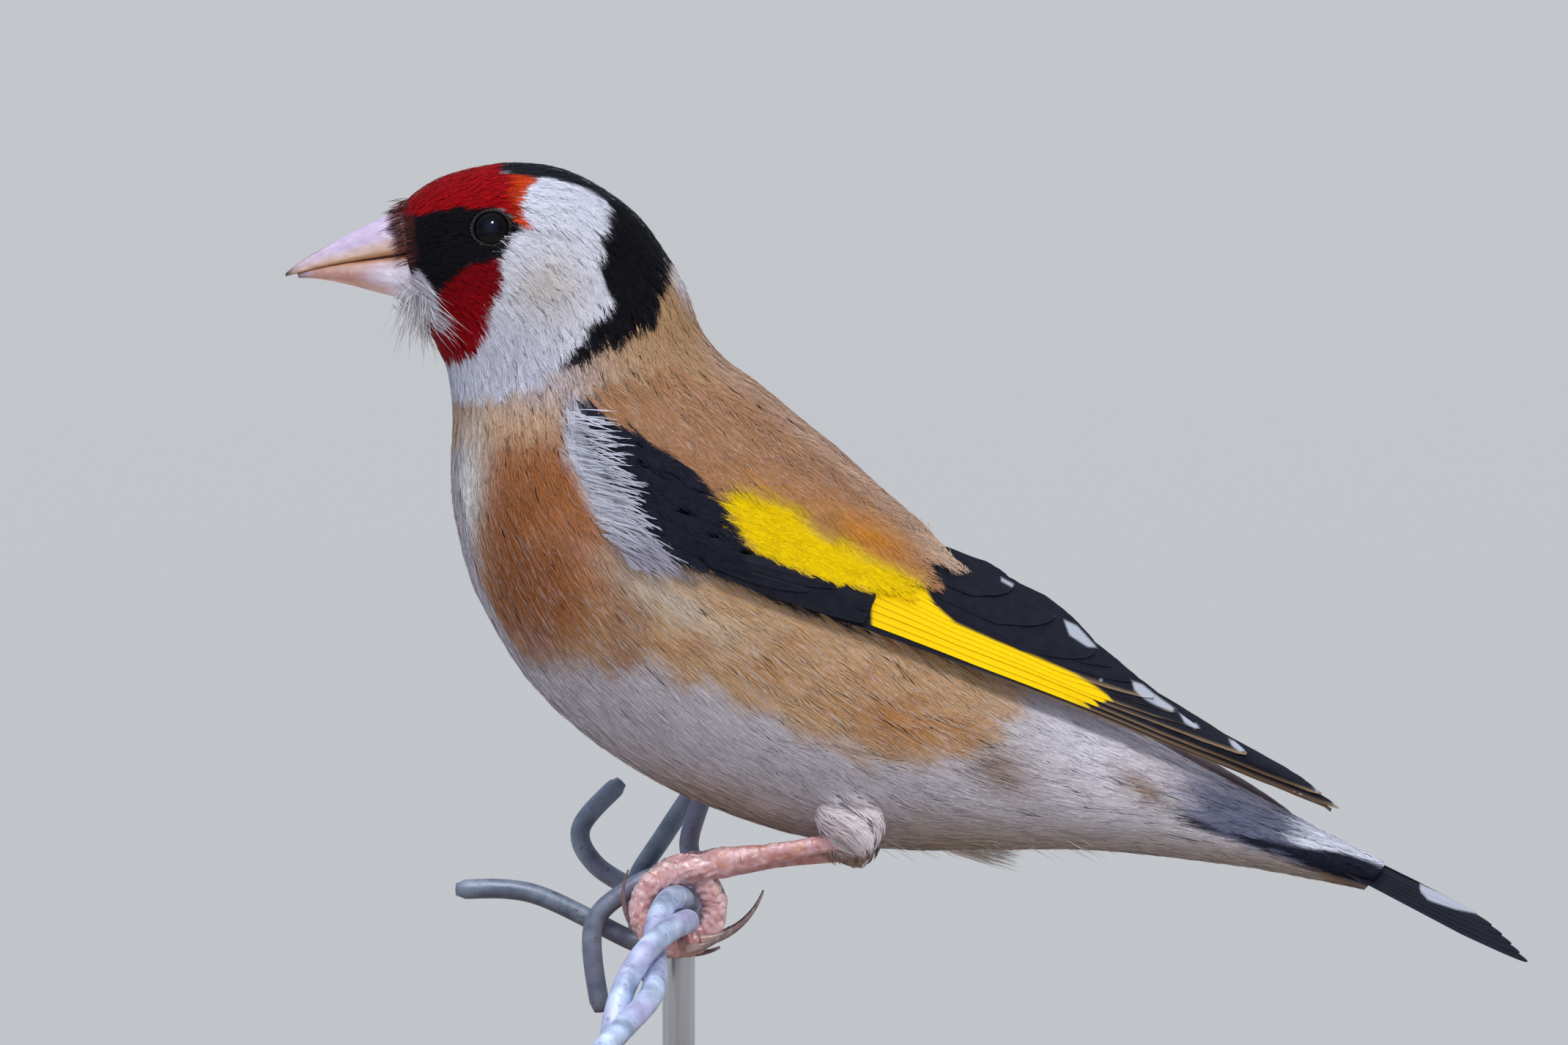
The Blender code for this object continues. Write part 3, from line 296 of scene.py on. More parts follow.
def plumage(p):
    """Colour of the body's plumage at points p, with soft or ragged borders as each mark has them."""
    x, y, z = p[..., 0], np.abs(p[..., 1]), p[..., 2]
    drift = wobble(p, 1.6) * 0.35
    broad = wobble(p, 5.0, 1)

    def mark(outline, soft, ragged=1.0):
        return smooth_step(-soft, soft, edge_distance(outline, x, z) + drift * ragged)

    colour = np.broadcast_to(np.array(TAN), p.shape).copy()
    colour = painted(colour, HIND_NECK, smooth_step(-2.0, 3.0, -x) * smooth_step(66.0, 72.0, z))
    colour = painted(colour, GOLDEN, 0.8 * smooth_step(-9.0, -13.0, x) * smooth_step(70.5, 64.0, z))
    colour = painted(colour, RUFOUS, 0.85 * mark(SIDE_PATCH, 1.9, 2.0))
    colour = painted(colour, (0.27, 0.080, 0.018), 0.75 * blob(x, z, -18.0, 55.0, 3.6, 6.0, 12))
    # The buff upper breast is painted paler than its own colour: painted light that makes up for the head's shadow
    # there.
    colour = painted(colour, (0.68, 0.44, 0.27), 0.85 * blob(x, z, -20.0, 70.6, 6.0, 2.6, 8))
    # Paler along the top of the back: a painted highlight where the light from above falls on the ridge.
    painted_ridge_highlight = smooth_step(3.2, 0.6, back_height(x) - z) * smooth_step(-6.0, 0.0, x) * smooth_step(28.0, 20.0, x)
    colour = painted(colour, (0.58, 0.41, 0.31), 0.55 * painted_ridge_highlight)
    below_wing = smooth_step(-9.5, -5.5, x) * smooth_step(62.0, 56.0, z - 0.45 * (6.0 - x))
    colour = painted(colour, FLANK, below_wing)
    streaks = wobble(p * (0.35, 1.0, 1.6), 2.4, 2)
    colour = painted(colour, FLANK_DEEP, below_wing * smooth_step(0.1, 0.9, streaks) * 0.6)
    colour = painted(colour, FLANK_DEEP, blob(x, z, 15.5, 43.0, 5.0, 2.2, -18))
    colour = painted(colour, (0.62, 0.53, 0.43), 0.75 * blob(x, z, -5.5, 54.3, 6.5, 1.6, -30))
    colour = painted(colour, BELLY, mark(WHITE_UNDER, 1.3, 2.6))
    colour = painted(colour, (0.96, 1.0, 1.0), 0.95 * blob(x, z, -24.8, 62.0, 1.9, 7.6, -8))
    centre_line = smooth_step(5.6, 4.0, y + drift) * smooth_step(68.8, 67.0, z + 0.5 * drift)
    colour = painted(colour, BELLY, centre_line * smooth_step(2.0, -6.0, x))
    # A greyer band low on the breast and belly: painted shade in a crease.
    colour = painted(colour, (0.47, 0.43, 0.47), 0.5 * blob(x, z, -12.5, 47.0, 7.0, 2.0, -25) * (0.6 + 0.4 * broad))
    # Warm brown along the belly's lower edge: painted shade on the underside.
    colour = painted(colour, (0.42, 0.27, 0.18), 0.8 * blob(x, z, -2.0, 36.0, 10.0, 2.4, -16))
    colour = painted(colour, (0.76, 0.74, 0.84), 0.8 * blob(x, z, 32.5, 42.0, 6.0, 2.6, -35))
    colour = painted(colour, RUMP_BROWN, 0.95 * blob(x, z, 24.6, 39.0, 2.9, 1.9, -40))
    colour = painted(colour, RUMP_BROWN, 0.85 * blob(x, z, 37.5, 37.3, 3.0, 1.1, -38))
    colour = painted(colour, VENT, smooth_step(35.5, 31.0, z + 0.10 * (x - 30)) * smooth_step(8.0, 20.0, x) * 0.85)
    ridge = z + 0.36 * (x - 45.0)
    grey = smooth_step(38.0, 43.5, x) * smooth_step(39.4, 36.2, ridge) * smooth_step(32.4, 33.2, ridge)
    colour = painted(colour, GREY_COVERT, grey)
    colour = painted(colour, WHITE, smooth_step(50.0, 53.0, x + drift) * smooth_step(33.6, 34.4, ridge))
    colour = painted(colour, WING_BLACK, mark(TAIL_SIDE, 0.25, 0.5))
    below_tail = smooth_step(0.3, -0.2, z - 29.8 + 0.37 * (x - 53.4)) * smooth_step(53.2, 54.4, x + drift)
    colour = painted(colour, (0.26, 0.16, 0.10), below_tail)
    colour = painted(colour, WING_BLACK, mark(BLACK_SHOULDER, 0.3, 0.5) * smooth_step(5.0, 7.0, y))
    colour = painted(colour, WHITE, mark(FRINGE, 0.9))
    # Greyer just under the wing's lower edge: painted shade beneath the wing.
    colour = painted(colour, (0.40, 0.38, 0.45), 0.75 * blob(x, z, -6.0, 57.6, 4.0, 0.8, -16))
    colour = painted(colour, WHITE, mark(WHITE_FACE, 0.5, 1.6))
    colour = painted(colour, BUFF, 0.95 * blob(x, z, -16.2, 82.7, 3.8, 3.7, 20) * (0.75 + 0.25 * broad))
    # A faint grey line behind the eye: painted shade in the crease above the ear coverts.
    colour = painted(colour, (0.30, 0.29, 0.32), 0.45 * blob(x, z, -15.9, 87.3, 3.0, 0.22, -6))
    # A greyer throat: painted shade on the down-facing throat.
    colour = painted(colour, (0.58, 0.57, 0.68), 0.75 * blob(x, z, -18.5, 75.0, 6.0, 3.2, -10))
    colour = painted(colour, (0.70, 0.69, 0.76), 0.9 * blob(x, z, -4.3, 83.4, 1.3, 2.3, 20) * smooth_step(5.5, 3.0, y))
    colour = painted(colour, BLACK, mark(NAPE_BLACK, 0.22, 1.4))
    # The crown's black is a little lighter and bluer than the other black: a painted sheen on top of the head.
    colour = painted(colour, (0.014, 0.014, 0.021), mark(CROWN_BLACK, 0.2))
    orange = smooth_step(-20.4, -18.6, x + drift)
    red = painted(np.broadcast_to(np.array(RED), p.shape), ORANGE_RED, 0.9 * orange)
    cap = mark(RED_CAP, 0.2)[..., None]
    colour = colour * (1 - cap) + red * cap
    deep = painted(np.broadcast_to(np.array(RED), p.shape), RED_DEEP, 0.4 + 0.5 * smooth_step(79.0, 84.5, z))
    bib = mark(RED_BIB, 0.2)[..., None]
    colour = colour * (1 - bib) + deep * bib
    colour = painted(colour, BLACK, mark(BLACK_MASK, 0.25))
    lores = smooth_step(-28.4, -29.6, x + drift) * smooth_step(84.0, 85.4, z) * smooth_step(90.0, 89.0, z)
    colour = painted(colour, (0.085, 0.026, 0.024), lores * 0.9)
    return painted(colour, (0.66, 0.62, 0.72), 0.85 * mark(WHISKERS, 0.3, 1.5))


# Meshes

def mesh_object(name, points, faces, colours=None, values=(), smooth=True):
    """A mesh from points in millimetres and lists of equal-sided faces, with colours and values at its points."""
    mesh = bpy.data.meshes.new(name)
    faces = [np.asarray(f, np.int32) for f in faces if len(f)]
    sizes = np.concatenate([np.full(len(f), f.shape[1]) for f in faces])
    mesh.vertices.add(len(points))
    mesh.vertices.foreach_set("co", (np.asarray(points) * MM).astype(np.float32).ravel())
    mesh.loops.add(int(sizes.sum()))
    mesh.loops.foreach_set("vertex_index", np.concatenate([f.ravel() for f in faces]))
    mesh.polygons.add(len(sizes))
    mesh.polygons.foreach_set("loop_start", (np.cumsum(sizes) - sizes).astype(np.int32))
    mesh.polygons.foreach_set("use_smooth", np.full(len(sizes), smooth))
    mesh.update(calc_edges=True)
    if colours is not None:
        layer = mesh.color_attributes.new("tint", "FLOAT_COLOR", "POINT")
        rgba = np.concatenate([colours, np.ones((len(colours), 1))], 1)
        layer.data.foreach_set("color", rgba.astype(np.float32).ravel())
    for key, numbers in dict(values).items():
        mesh.attributes.new(key, "FLOAT", "POINT").data.foreach_set("value", np.asarray(numbers, np.float32))
    obj = bpy.data.objects.new(name, mesh)
    bpy.context.scene.collection.objects.link(obj)
    return obj


def sharpened(obj):
    """Keeps the shading of a thin plate's faces apart from that of its edges."""
    obj.data.set_sharp_from_angle(angle=math.radians(40))


def give_uv(obj, uv):
    """A map named OFBake, from one place for each point."""
    loops = np.empty(len(obj.data.loops), np.int32)
    obj.data.loops.foreach_get("vertex_index", loops)
    layer = obj.data.uv_layers.new(name="OFBake")
    layer.data.foreach_set("uv", np.clip(uv, 0.0, 1.0)[loops].astype(np.float32).ravel())


def piece(obj, slot, shader, *nodes):
    """Gives a finished piece its material and its body, and hides the solids that it stands for. Its slot is not used.
    """
    obj.data.materials.clear()
    obj.data.materials.append(shader)
    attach(obj, "root")
    if nodes:
        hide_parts(*nodes)
    return obj


def grid_faces(rows, cols, wrap=False):
    r, c = np.meshgrid(np.arange(rows - 1), np.arange(cols if wrap else cols - 1), indexing="ij")
    a, b = (r * cols + c).ravel(), (r * cols + (c + 1) % cols).ravel()
    return np.stack([a, b, b + cols, a + cols], 1)


def sweep(points, radii, sides=24, flat=None, twist=0.0):
    """A closed round tube along points: its points, faces, and each point's share along it."""
    points = np.asarray(points, float)
    radii = np.asarray(radii, float)
    tangent = unit(np.gradient(points, axis=0))
    normal = np.zeros_like(points)
    normal[0] = unit(np.cross(tangent[0], (0.3, 0.9, 0.2)))
    for k in range(1, len(points)):
        turned = normal[k - 1] - tangent[k] * (normal[k - 1] @ tangent[k])
        normal[k] = unit(turned)
    across = np.cross(tangent, normal)
    angle = np.linspace(0, 2 * math.pi, sides, endpoint=False)
    ring = np.cos(angle)[None, :, None] * normal[:, None] + np.sin(angle)[None, :, None] * across[:, None]
    if radii.ndim == 1:
        radii = np.repeat(radii[:, None], sides, 1)
    made = points[:, None] + ring * radii[..., None]
    count = len(points)
    ends = np.stack([points[0] - tangent[0] * radii[0, 0] * 0.12, points[-1] + tangent[-1] * radii[-1, 0] * 0.12])
    verts = np.concatenate([made.reshape(-1, 3), ends])
    ring_ids = np.arange(sides)
    first = np.stack([np.full(sides, count * sides), (ring_ids + 1) % sides, ring_ids], 1)
    base = (count - 1) * sides
    last = np.stack([np.full(sides, count * sides + 1), base + ring_ids, base + (ring_ids + 1) % sides], 1)
    share = np.concatenate([np.repeat(np.linspace(0, 1, count), sides), [0, 1]])
    return verts, [grid_faces(count, sides, True), np.concatenate([first, last])], share


def joined(parts):
    """Points, faces and further rows of several shapes, put together as one."""
    points, faces, extra, offset = [], {3: [], 4: []}, [], 0
    for part in parts:
        points.append(part[0])
        for group in part[1]:
            faces[group.shape[1]].append(group + offset)
        extra.append(part[2:])
        offset += len(part[0])
    rows = [np.concatenate([e[k] for e in extra]) for k in range(len(extra[0]))]
    return np.concatenate(points), [np.concatenate(f) for f in faces.values() if f], rows


# Materials

def shader(name, roughness=0.6, specular=0.5, metallic=0.0, sheen=0.0, coat=0.0):
    """A material with a Principled shader, and a small helper to add nodes to it."""
    made = bpy.data.materials.new(name)
    made.use_nodes = True
    tree = made.node_tree
    surface = tree.nodes["Principled BSDF"]
    surface.inputs["Roughness"].default_value = roughness
    surface.inputs["Specular IOR Level"].default_value = specular
    surface.inputs["Metallic"].default_value = metallic
    surface.inputs["Sheen Weight"].default_value = sheen
    surface.inputs["Sheen Roughness"].default_value = 0.4
    surface.inputs["Coat Weight"].default_value = coat
    surface.inputs["Coat Roughness"].default_value = 0.03

    def node(kind, values=(), links=(), **settings):
        new = tree.nodes.new("ShaderNode" + kind)
        for key, value in settings.items():
            setattr(new, key, value)
        for key, value in dict(values).items():
            new.inputs[key].default_value = value
        for key, source in dict(links).items():
            tree.links.new(source, new.inputs[key])
        return new

    return made, surface, node, tree.links.new


def attribute(node, name):
    return node("Attribute", attribute_name=name).outputs["Fac"]


def place_noise(node, scale, detail=3.0, stretch=(1.0, 1.0, 1.0)):
    """Noise fixed to the model: scale is its number of spots in a metre."""
    spot = node("TexCoord").outputs["Object"]
    spot = node("Mapping", {"Scale": stretch}, {"Vector": spot}).outputs["Vector"]
    return node("TexNoise", {"Scale": scale, "Detail": detail}, {"Vector": spot}).outputs["Fac"]


def ramp(node, value, low, high, out_low=0.0, out_high=1.0):
    values = {"From Min": low, "From Max": high, "To Min": out_low, "To Max": out_high}
    return node("MapRange", values, {"Value": value}).outputs["Result"]


def mixed(node, share, first, second, how="MIX"):
    """One colour over another; a colour is a socket or three numbers."""
    new = node("Mix", data_type="RGBA", blend_type=how)
    for key, value in ((6, first), (7, second)):
        if isinstance(value, tuple):
            new.inputs[key].default_value = (*value, 1.0)
        else:
            new.id_data.links.new(value, new.inputs[key])
    if isinstance(share, float):
        new.inputs[0].default_value = share
    else:
        new.id_data.links.new(share, new.inputs[0])
    return new.outputs[2]


def bump(node, link, surface, height, distance, strength=1.0):
    new = node("Bump", {"Distance": distance, "Strength": strength}, {"Height": height})
    link(new.outputs["Normal"], surface.inputs["Normal"])
    return new


def feather_down_shader():
    made, surface, node, link = shader("body_feathers", 0.85, 0.06, sheen=0.06)
    tint = node("Attribute", attribute_name="tint").outputs["Color"]
    fine = ramp(node, place_noise(node, 2600, 2), 0.3, 0.7, 0.93, 1.07)
    link(mixed(node, 1.0, tint, node("CombineColor", links={"Red": fine, "Green": fine, "Blue": fine}).outputs[0],
               "MULTIPLY"), surface.inputs["Base Color"])
    link(ramp(node, place_noise(node, 1800, 2), 0.3, 0.7, 0.75, 0.95), surface.inputs["Roughness"])
    bump(node, link, surface, place_noise(node, 5200, 2), 0.00001, 0.3)
    return made


def vane_shader():
    """Flight and tail feathers: near black, with a yellow panel that has a painted shadow line along each feather's
    lower edge, white tips, brown edges of wear, and an underside of its own paler grey painted paler still, as painted
    light against the shade it lies in.
    """
    made, surface, node, link = shader("flight_feathers", 0.55, 0.08)
    barb = attribute(node, "barb")
    wave = node("Math", links={0: node("Math", {1: 2 * math.pi / 0.24}, {0: barb}, operation="MULTIPLY").outputs[0]},
                operation="SINE").outputs[0]
    grain = place_noise(node, 900, 3)
    rough_edge = node("Math", {1: 0.06}, {0: wave}, operation="MULTIPLY").outputs[0]
    black = mixed(node, ramp(node, grain, 0.3, 0.7), (0.0075, 0.0082, 0.0145), (0.0125, 0.0135, 0.022))
    brown = ramp(node, attribute(node, "brown"), 0.0, 1.0)
    colour = mixed(node, brown, black, (0.26, 0.170, 0.100))
    # The underside is its own paler grey, painted paler still: painted light against the shade it lies in.
    wear_and_painted_light = mixed(node, ramp(node, grain, 0.3, 0.7), (0.46, 0.37, 0.40), (0.66, 0.54, 0.54))
    colour = mixed(node, ramp(node, attribute(node, "under"), 0.90, 0.99), colour, wear_and_painted_light)

    def patch(colour, key, tint, soft):
        value = node("Math", links={0: attribute(node, key), 1: rough_edge}, operation="ADD").outputs[0]
        return mixed(node, ramp(node, value, -soft, soft), colour, tint)

    yellow = mixed(node, ramp(node, wave, -1.0, 1.0), (0.90, 0.585, 0.001), (0.94, 0.63, 0.0015))
    # Darker yellow along each feather's lower edge: a painted shadow line.
    yellow = mixed(node, ramp(node, attribute(node, "rim"), 0.22, 0.0), yellow, (0.82, 0.53, 0.001))
    colour = patch(colour, "yellow", yellow, 0.14)
    colour = patch(colour, "white", (0.39, 0.41, 0.47), 0.09)
    link(colour, surface.inputs["Base Color"])
    link(ramp(node, grain, 0.3, 0.7, 0.48, 0.62), surface.inputs["Roughness"])
    bump(node, link, surface, wave, 0.000008, 0.35)
    return made


def bill_shader():
    made, surface, node, link = shader("bill_horn", 0.36, 0.3)
    surface.inputs["Subsurface Weight"].default_value = 0.12
    surface.inputs["Subsurface Radius"].default_value = (0.0012, 0.0005, 0.0004)
    surface.inputs["Subsurface Scale"].default_value = 0.6
    tint = node("Attribute", attribute_name="tint").outputs["Color"]
    cloud = ramp(node, place_noise(node, 700, 4, (1.0, 1.0, 2.5)), 0.35, 0.7)
    colour = mixed(node, cloud, tint, mixed(node, 1.0, tint, (0.86, 0.76, 0.77), "MULTIPLY"))
    fibres = place_noise(node, 2400, 4, (0.16, 1.0, 1.0))
    colour = mixed(node, ramp(node, fibres, 0.42, 0.68, 0.0, 0.45), colour,
                   mixed(node, 1.0, colour, (0.80, 0.66, 0.62), "MULTIPLY"))
    colour = mixed(node, ramp(node, place_noise(node, 1100, 4), 0.62, 0.74, 0.0, 0.2), colour, (0.80, 0.70, 0.70))
    link(colour, surface.inputs["Base Color"])
    link(ramp(node, place_noise(node, 1500, 3), 0.3, 0.7, 0.28, 0.50), surface.inputs["Roughness"])
    bump(node, link, surface, fibres, 0.00008, 0.6)
    return made


def skin_shader():
    """Bare leg and foot skin: pink with red and orange in the folds, pebbled, with pale spots."""
    made, surface, node, link = shader("leg_skin", 0.40, 0.5, coat=0.12)
    surface.inputs["Subsurface Weight"].default_value = 0.15
    surface.inputs["Subsurface Radius"].default_value = (0.0010, 0.0004, 0.0003)
    surface.inputs["Subsurface Scale"].default_value = 0.6
    raised = attribute(node, "raised")
    spots = place_noise(node, 1100, 4)
    spot = node("TexCoord").outputs["Object"]
    pebbles = node("TexVoronoi", {"Scale": 1900.0}, {"Vector": spot}, feature="SMOOTH_F1").outputs["Distance"]
    colour = mixed(node, ramp(node, spots, 0.35, 0.65), (0.54, 0.25, 0.25), (0.74, 0.47, 0.49))
    colour = mixed(node, ramp(node, raised, 0.35, 1.0, 0.0, 0.75), colour, (0.84, 0.66, 0.67))
    colour = mixed(node, ramp(node, place_noise(node, 520, 2), 0.56, 0.70, 0.0, 0.6), colour, (0.66, 0.27, 0.12))
    colour = mixed(node, ramp(node, place_noise(node, 2600, 2), 0.66, 0.74), colour, (0.88, 0.76, 0.62))
    link(colour, surface.inputs["Base Color"])
    link(ramp(node, spots, 0.3, 0.7, 0.28, 0.52), surface.inputs["Roughness"])
    bump(node, link, surface, pebbles, 0.00016, 0.8)
    return made


def claw_shader():
    made, surface, node, link = shader("claw_horn", 0.40, 0.35, coat=0.06)
    tip = attribute(node, "share")
    grain = place_noise(node, 1800, 3, (1.0, 0.3, 1.0))
    colour = mixed(node, ramp(node, tip, 0.0, 0.55), (0.50, 0.32, 0.29), (0.18, 0.12, 0.12))
    colour = mixed(node, ramp(node, grain, 0.5, 0.75), colour, (0.34, 0.27, 0.27))
    link(colour, surface.inputs["Base Color"])
    bump(node, link, surface, grain, 0.00003, 0.4)
    return made


def eye_shader():
    """A dark wet eye: black pupil with a painted bluish reflection over its middle, very dark brown iris."""
    made, surface, node, link = shader("eye", 0.05, 0.13)
    edge = attribute(node, "edge")
    grain = place_noise(node, 2500, 3)
    iris = mixed(node, ramp(node, grain, 0.3, 0.7), (0.0016, 0.0012, 0.0014), (0.0040, 0.0024, 0.0020))
    # The pupil is near black at its rim and bluish in its middle: a painted reflection of the sky.
    pupil = mixed(node, ramp(node, edge, 0.95, 0.0), (0.0008, 0.0009, 0.0014), (0.012, 0.014, 0.030))
    colour = mixed(node, ramp(node, edge, 0.98, 1.10), pupil, iris)
    colour = mixed(node, ramp(node, edge, 1.48, 1.62), colour, (0.001, 0.0009, 0.0009))
    link(colour, surface.inputs["Base Color"])
    return made


def lid_shader():
    """Black lid skin with a row of small grey beads along its outer rim."""
    made, surface, node, link = shader("lid_skin", 0.6, 0.12)
    grain = place_noise(node, 3000, 3)
    black = mixed(node, ramp(node, grain, 0.35, 0.65), (0.009, 0.007, 0.007), (0.022, 0.017, 0.017))
    beads = ramp(node, attribute(node, "raised"), 0.15, 0.6)
    link(mixed(node, beads, black, (0.150, 0.135, 0.135)), surface.inputs["Base Color"])
    bump(node, link, surface, place_noise(node, 5200, 2), 0.00012, 0.9)
    return made


def wire_shader(name, shade):
    """Weathered galvanised wire: matt blue grey zinc with a lilac bloom, darker spangle and a few rust freckles. Its
    colour is multiplied by shade, a painted lighting level: above 1 for a lit copy, below 1 for a shaded copy.
    """
    made, surface, node, link = shader(name, 0.5, 0.4, metallic=0.28)
    spangle = place_noise(node, 520, 5)
    bloom = place_noise(node, 150, 3)
    colour = mixed(node, ramp(node, spangle, 0.35, 0.65), (0.22, 0.28, 0.395), (0.46, 0.55, 0.71))
    colour = mixed(node, ramp(node, bloom, 0.50, 0.72, 0.0, 0.7), colour, (0.40, 0.36, 0.58))
    colour = mixed(node, ramp(node, place_noise(node, 1500, 5), 0.60, 0.70, 0.0, 0.5), colour, (0.10, 0.12, 0.16))
    colour = mixed(node, ramp(node, place_noise(node, 900, 5), 0.70, 0.78), colour, (0.16, 0.075, 0.035))
    link(mixed(node, 1.0, colour, (shade, shade, shade), "MULTIPLY"), surface.inputs["Base Color"])
    link(ramp(node, spangle, 0.3, 0.7, 0.40, 0.62), surface.inputs["Roughness"])
    bump(node, link, surface, place_noise(node, 1600, 4), 0.00008, 0.6)
    return made


def wood_shader():
    made, surface, node, link = shader("stand_wood", 0.42, 0.4, coat=0.12)
    spot = node("TexCoord").outputs["Object"]
    warped = node("Mapping", {"Scale": (1.0, 9.0, 9.0), "Rotation": (0.0, 0.0, 0.35)}, {"Vector": spot})
    rings = node("TexNoise", {"Scale": 26.0, "Detail": 6.0, "Distortion": 0.6}, {"Vector": warped.outputs[0]})
    pores = place_noise(node, 900, 3, (0.06, 1.0, 1.0))
    colour = mixed(node, ramp(node, rings.outputs["Fac"], 0.35, 0.65), (0.13, 0.060, 0.026), (0.30, 0.155, 0.070))
    colour = mixed(node, ramp(node, pores, 0.60, 0.72), colour, (0.055, 0.025, 0.012))
    link(colour, surface.inputs["Base Color"])
    link(ramp(node, pores, 0.3, 0.7, 0.34, 0.55), surface.inputs["Roughness"])
    bump(node, link, surface, pores, 0.00006, 0.3)
    return made


def steel_shader():
    made, surface, node, link = shader("stand_steel", 0.28, 0.5, metallic=1.0)
    brushed = place_noise(node, 2200, 2, (1.0, 1.0, 0.03))
    link(mixed(node, ramp(node, brushed, 0.3, 0.7), (0.42, 0.42, 0.43), (0.60, 0.60, 0.61)),
         surface.inputs["Base Color"])
    link(ramp(node, brushed, 0.3, 0.7, 0.22, 0.40), surface.inputs["Roughness"])
    bump(node, link, surface, brushed, 0.00001, 0.4)
    return made


def floor_shader():
    """A pale floor that thins out to nothing away from the model."""
    made, surface, node, link = shader("floor", 0.8, 0.2)
    surface.inputs["Base Color"].default_value = (0.60, 0.60, 0.60, 1.0)
    spot = node("TexCoord").outputs["Object"]
    away = node("VectorMath", links={0: spot}, operation="LENGTH").outputs["Value"]
    link(ramp(node, away, 0.16, 0.42, 1.0, 0.0), surface.inputs["Alpha"])
    return made


# The side of the body as a table, for whatever lies against it

SIDE_X, SIDE_Z = np.arange(-45.0, 80.0, 0.5), np.arange(20.0, 98.0, 0.5)
SIDE_TABLE = body_side(*np.meshgrid(SIDE_X, SIDE_Z, indexing="ij"))
BACK_PLACES = smooth_rows(BODY_ROWS, np.linspace(3.0, BODY_END, 400))


def side_of_body(x, z):
    u = np.clip((x - SIDE_X[0]) / 0.5, 0, len(SIDE_X) - 1.001)
    v = np.clip((z - SIDE_Z[0]) / 0.5, 0, len(SIDE_Z) - 1.001)
    i, j = u.astype(int), v.astype(int)
    s, t = u - i, v - j
    low = between(SIDE_TABLE[i, j], SIDE_TABLE[i + 1, j], s)
    return between(low, between(SIDE_TABLE[i, j + 1], SIDE_TABLE[i + 1, j + 1], s), t)


def back_height(x):
    return np.interp(x, BACK_PLACES[:, 0], BACK_PLACES[:, 1])


# The surface that the folded wing's feathers lie on: x, then height and distance from the midline
# along its upper edge, then along its lower edge.
WING_SURFACE = [
    (-14.0, 73.6, 10.4, 70.0, 12.3),
    (-9.0, 71.0, 11.4, 62.8, 14.4),
    (-4.0, 68.0, 12.2, 57.6, 15.8),
    (1.0, 65.2, 12.6, 55.8, 15.8),
    (6.0, 63.0, 12.0, 53.8, 15.3),
    (11.0, 60.8, 10.8, 52.0, 14.5),
    (16.0, 59.0, 8.8, 50.1, 13.3),
    (21.0, 57.4, 5.6, 48.3, 11.8),
    (26.0, 54.8, 4.2, 46.7, 10.0),
    (31.0, 51.4, 3.9, 45.0, 8.0),
    (36.0, 47.9, 3.8, 43.1, 6.4),
    (41.0, 44.5, 3.7, 41.5, 5.4),
    (46.0, 41.5, 3.6, 39.7, 4.7),
    (51.0, 38.8, 3.5, 37.4, 4.2),
    (56.0, 35.9, 3.4, 34.8, 3.9),
]
WING_ROWS = np.array(WING_SURFACE)
WING_BULGE = 0.8
RIGHT_DROOP, RIGHT_SHIFT, SHOULDER = math.radians(1.9), -1.3, (-14.3, 72.3)


def wing_turned(side, x, z):
    """Where a place of the wing's pattern lies: the right wing hangs lower, turned at its shoulder."""
    if side == LEFT:
        return x, z
    u, v = x - SHOULDER[0], z - SHOULDER[1]
    c, s = math.cos(RIGHT_DROOP), math.sin(RIGHT_DROOP)
    return SHOULDER[0] + u * c + v * s + RIGHT_SHIFT, SHOULDER[1] + v * c - u * s


def wing_share(x, z):
    """The wing's own distance out from the midline, and the share of the way down its surface."""
    high, y_high, low, y_low = np.moveaxis(smooth_rows(WING_ROWS[:, 1:], np.clip((x + 14.0) / 5.0, 0, 14)), -1, 0)
    t = np.clip((high - z) / (high - low), -0.25, 1.25)
    return between(y_high, y_low, t) + WING_BULGE * 4 * t * (1 - t), t


def wing_point(side, x, z, lift=0.0):
    """Points over the folded wing's surface, the same as that of the solids."""
    y, t = wing_share(x, z)
    x, z = wing_turned(side, x, z)
    tuck = np.clip((22 - x) / 6, 0.0, 1.0)
    y = np.where(z < back_height(x), np.maximum(y, side_of_body(x, z) + 0.75 - 1.8 * (1 - t) * tuck), y)
    return np.stack([x, side * (y + lift), z], -1)


def cover_point(side, x, z, lift=0.0):
    """Points over whichever is further out, the body's side or the wing, blended softly."""
    y, t = wing_share(x, z)
    x, z = wing_turned(side, x, z)
    body = side_of_body(x, z)
    both = np.where((t > -0.24) & (t < 1.24), y - body, -3.0)
    y = body + 0.5 * (both + np.sqrt(both**2 + 0.4))
    return np.stack([x, side * (y + lift), z], -1)


def normals_over(surface, side, x, z):
    d = 0.15
    a = surface(side, x + d, z) - surface(side, x - d, z)
    b = surface(side, x, z + d) - surface(side, x, z - d)
    return unit(np.cross(a, b) * -side)


# Tufts: small feathers made of flat tapering barbs

BARB_ROWS = np.array([0.0, 0.36, 0.7, 1.0])
BARB_TAPER = np.array([0.8, 1.0, 0.8])
CLUMP_STEP = 0.34


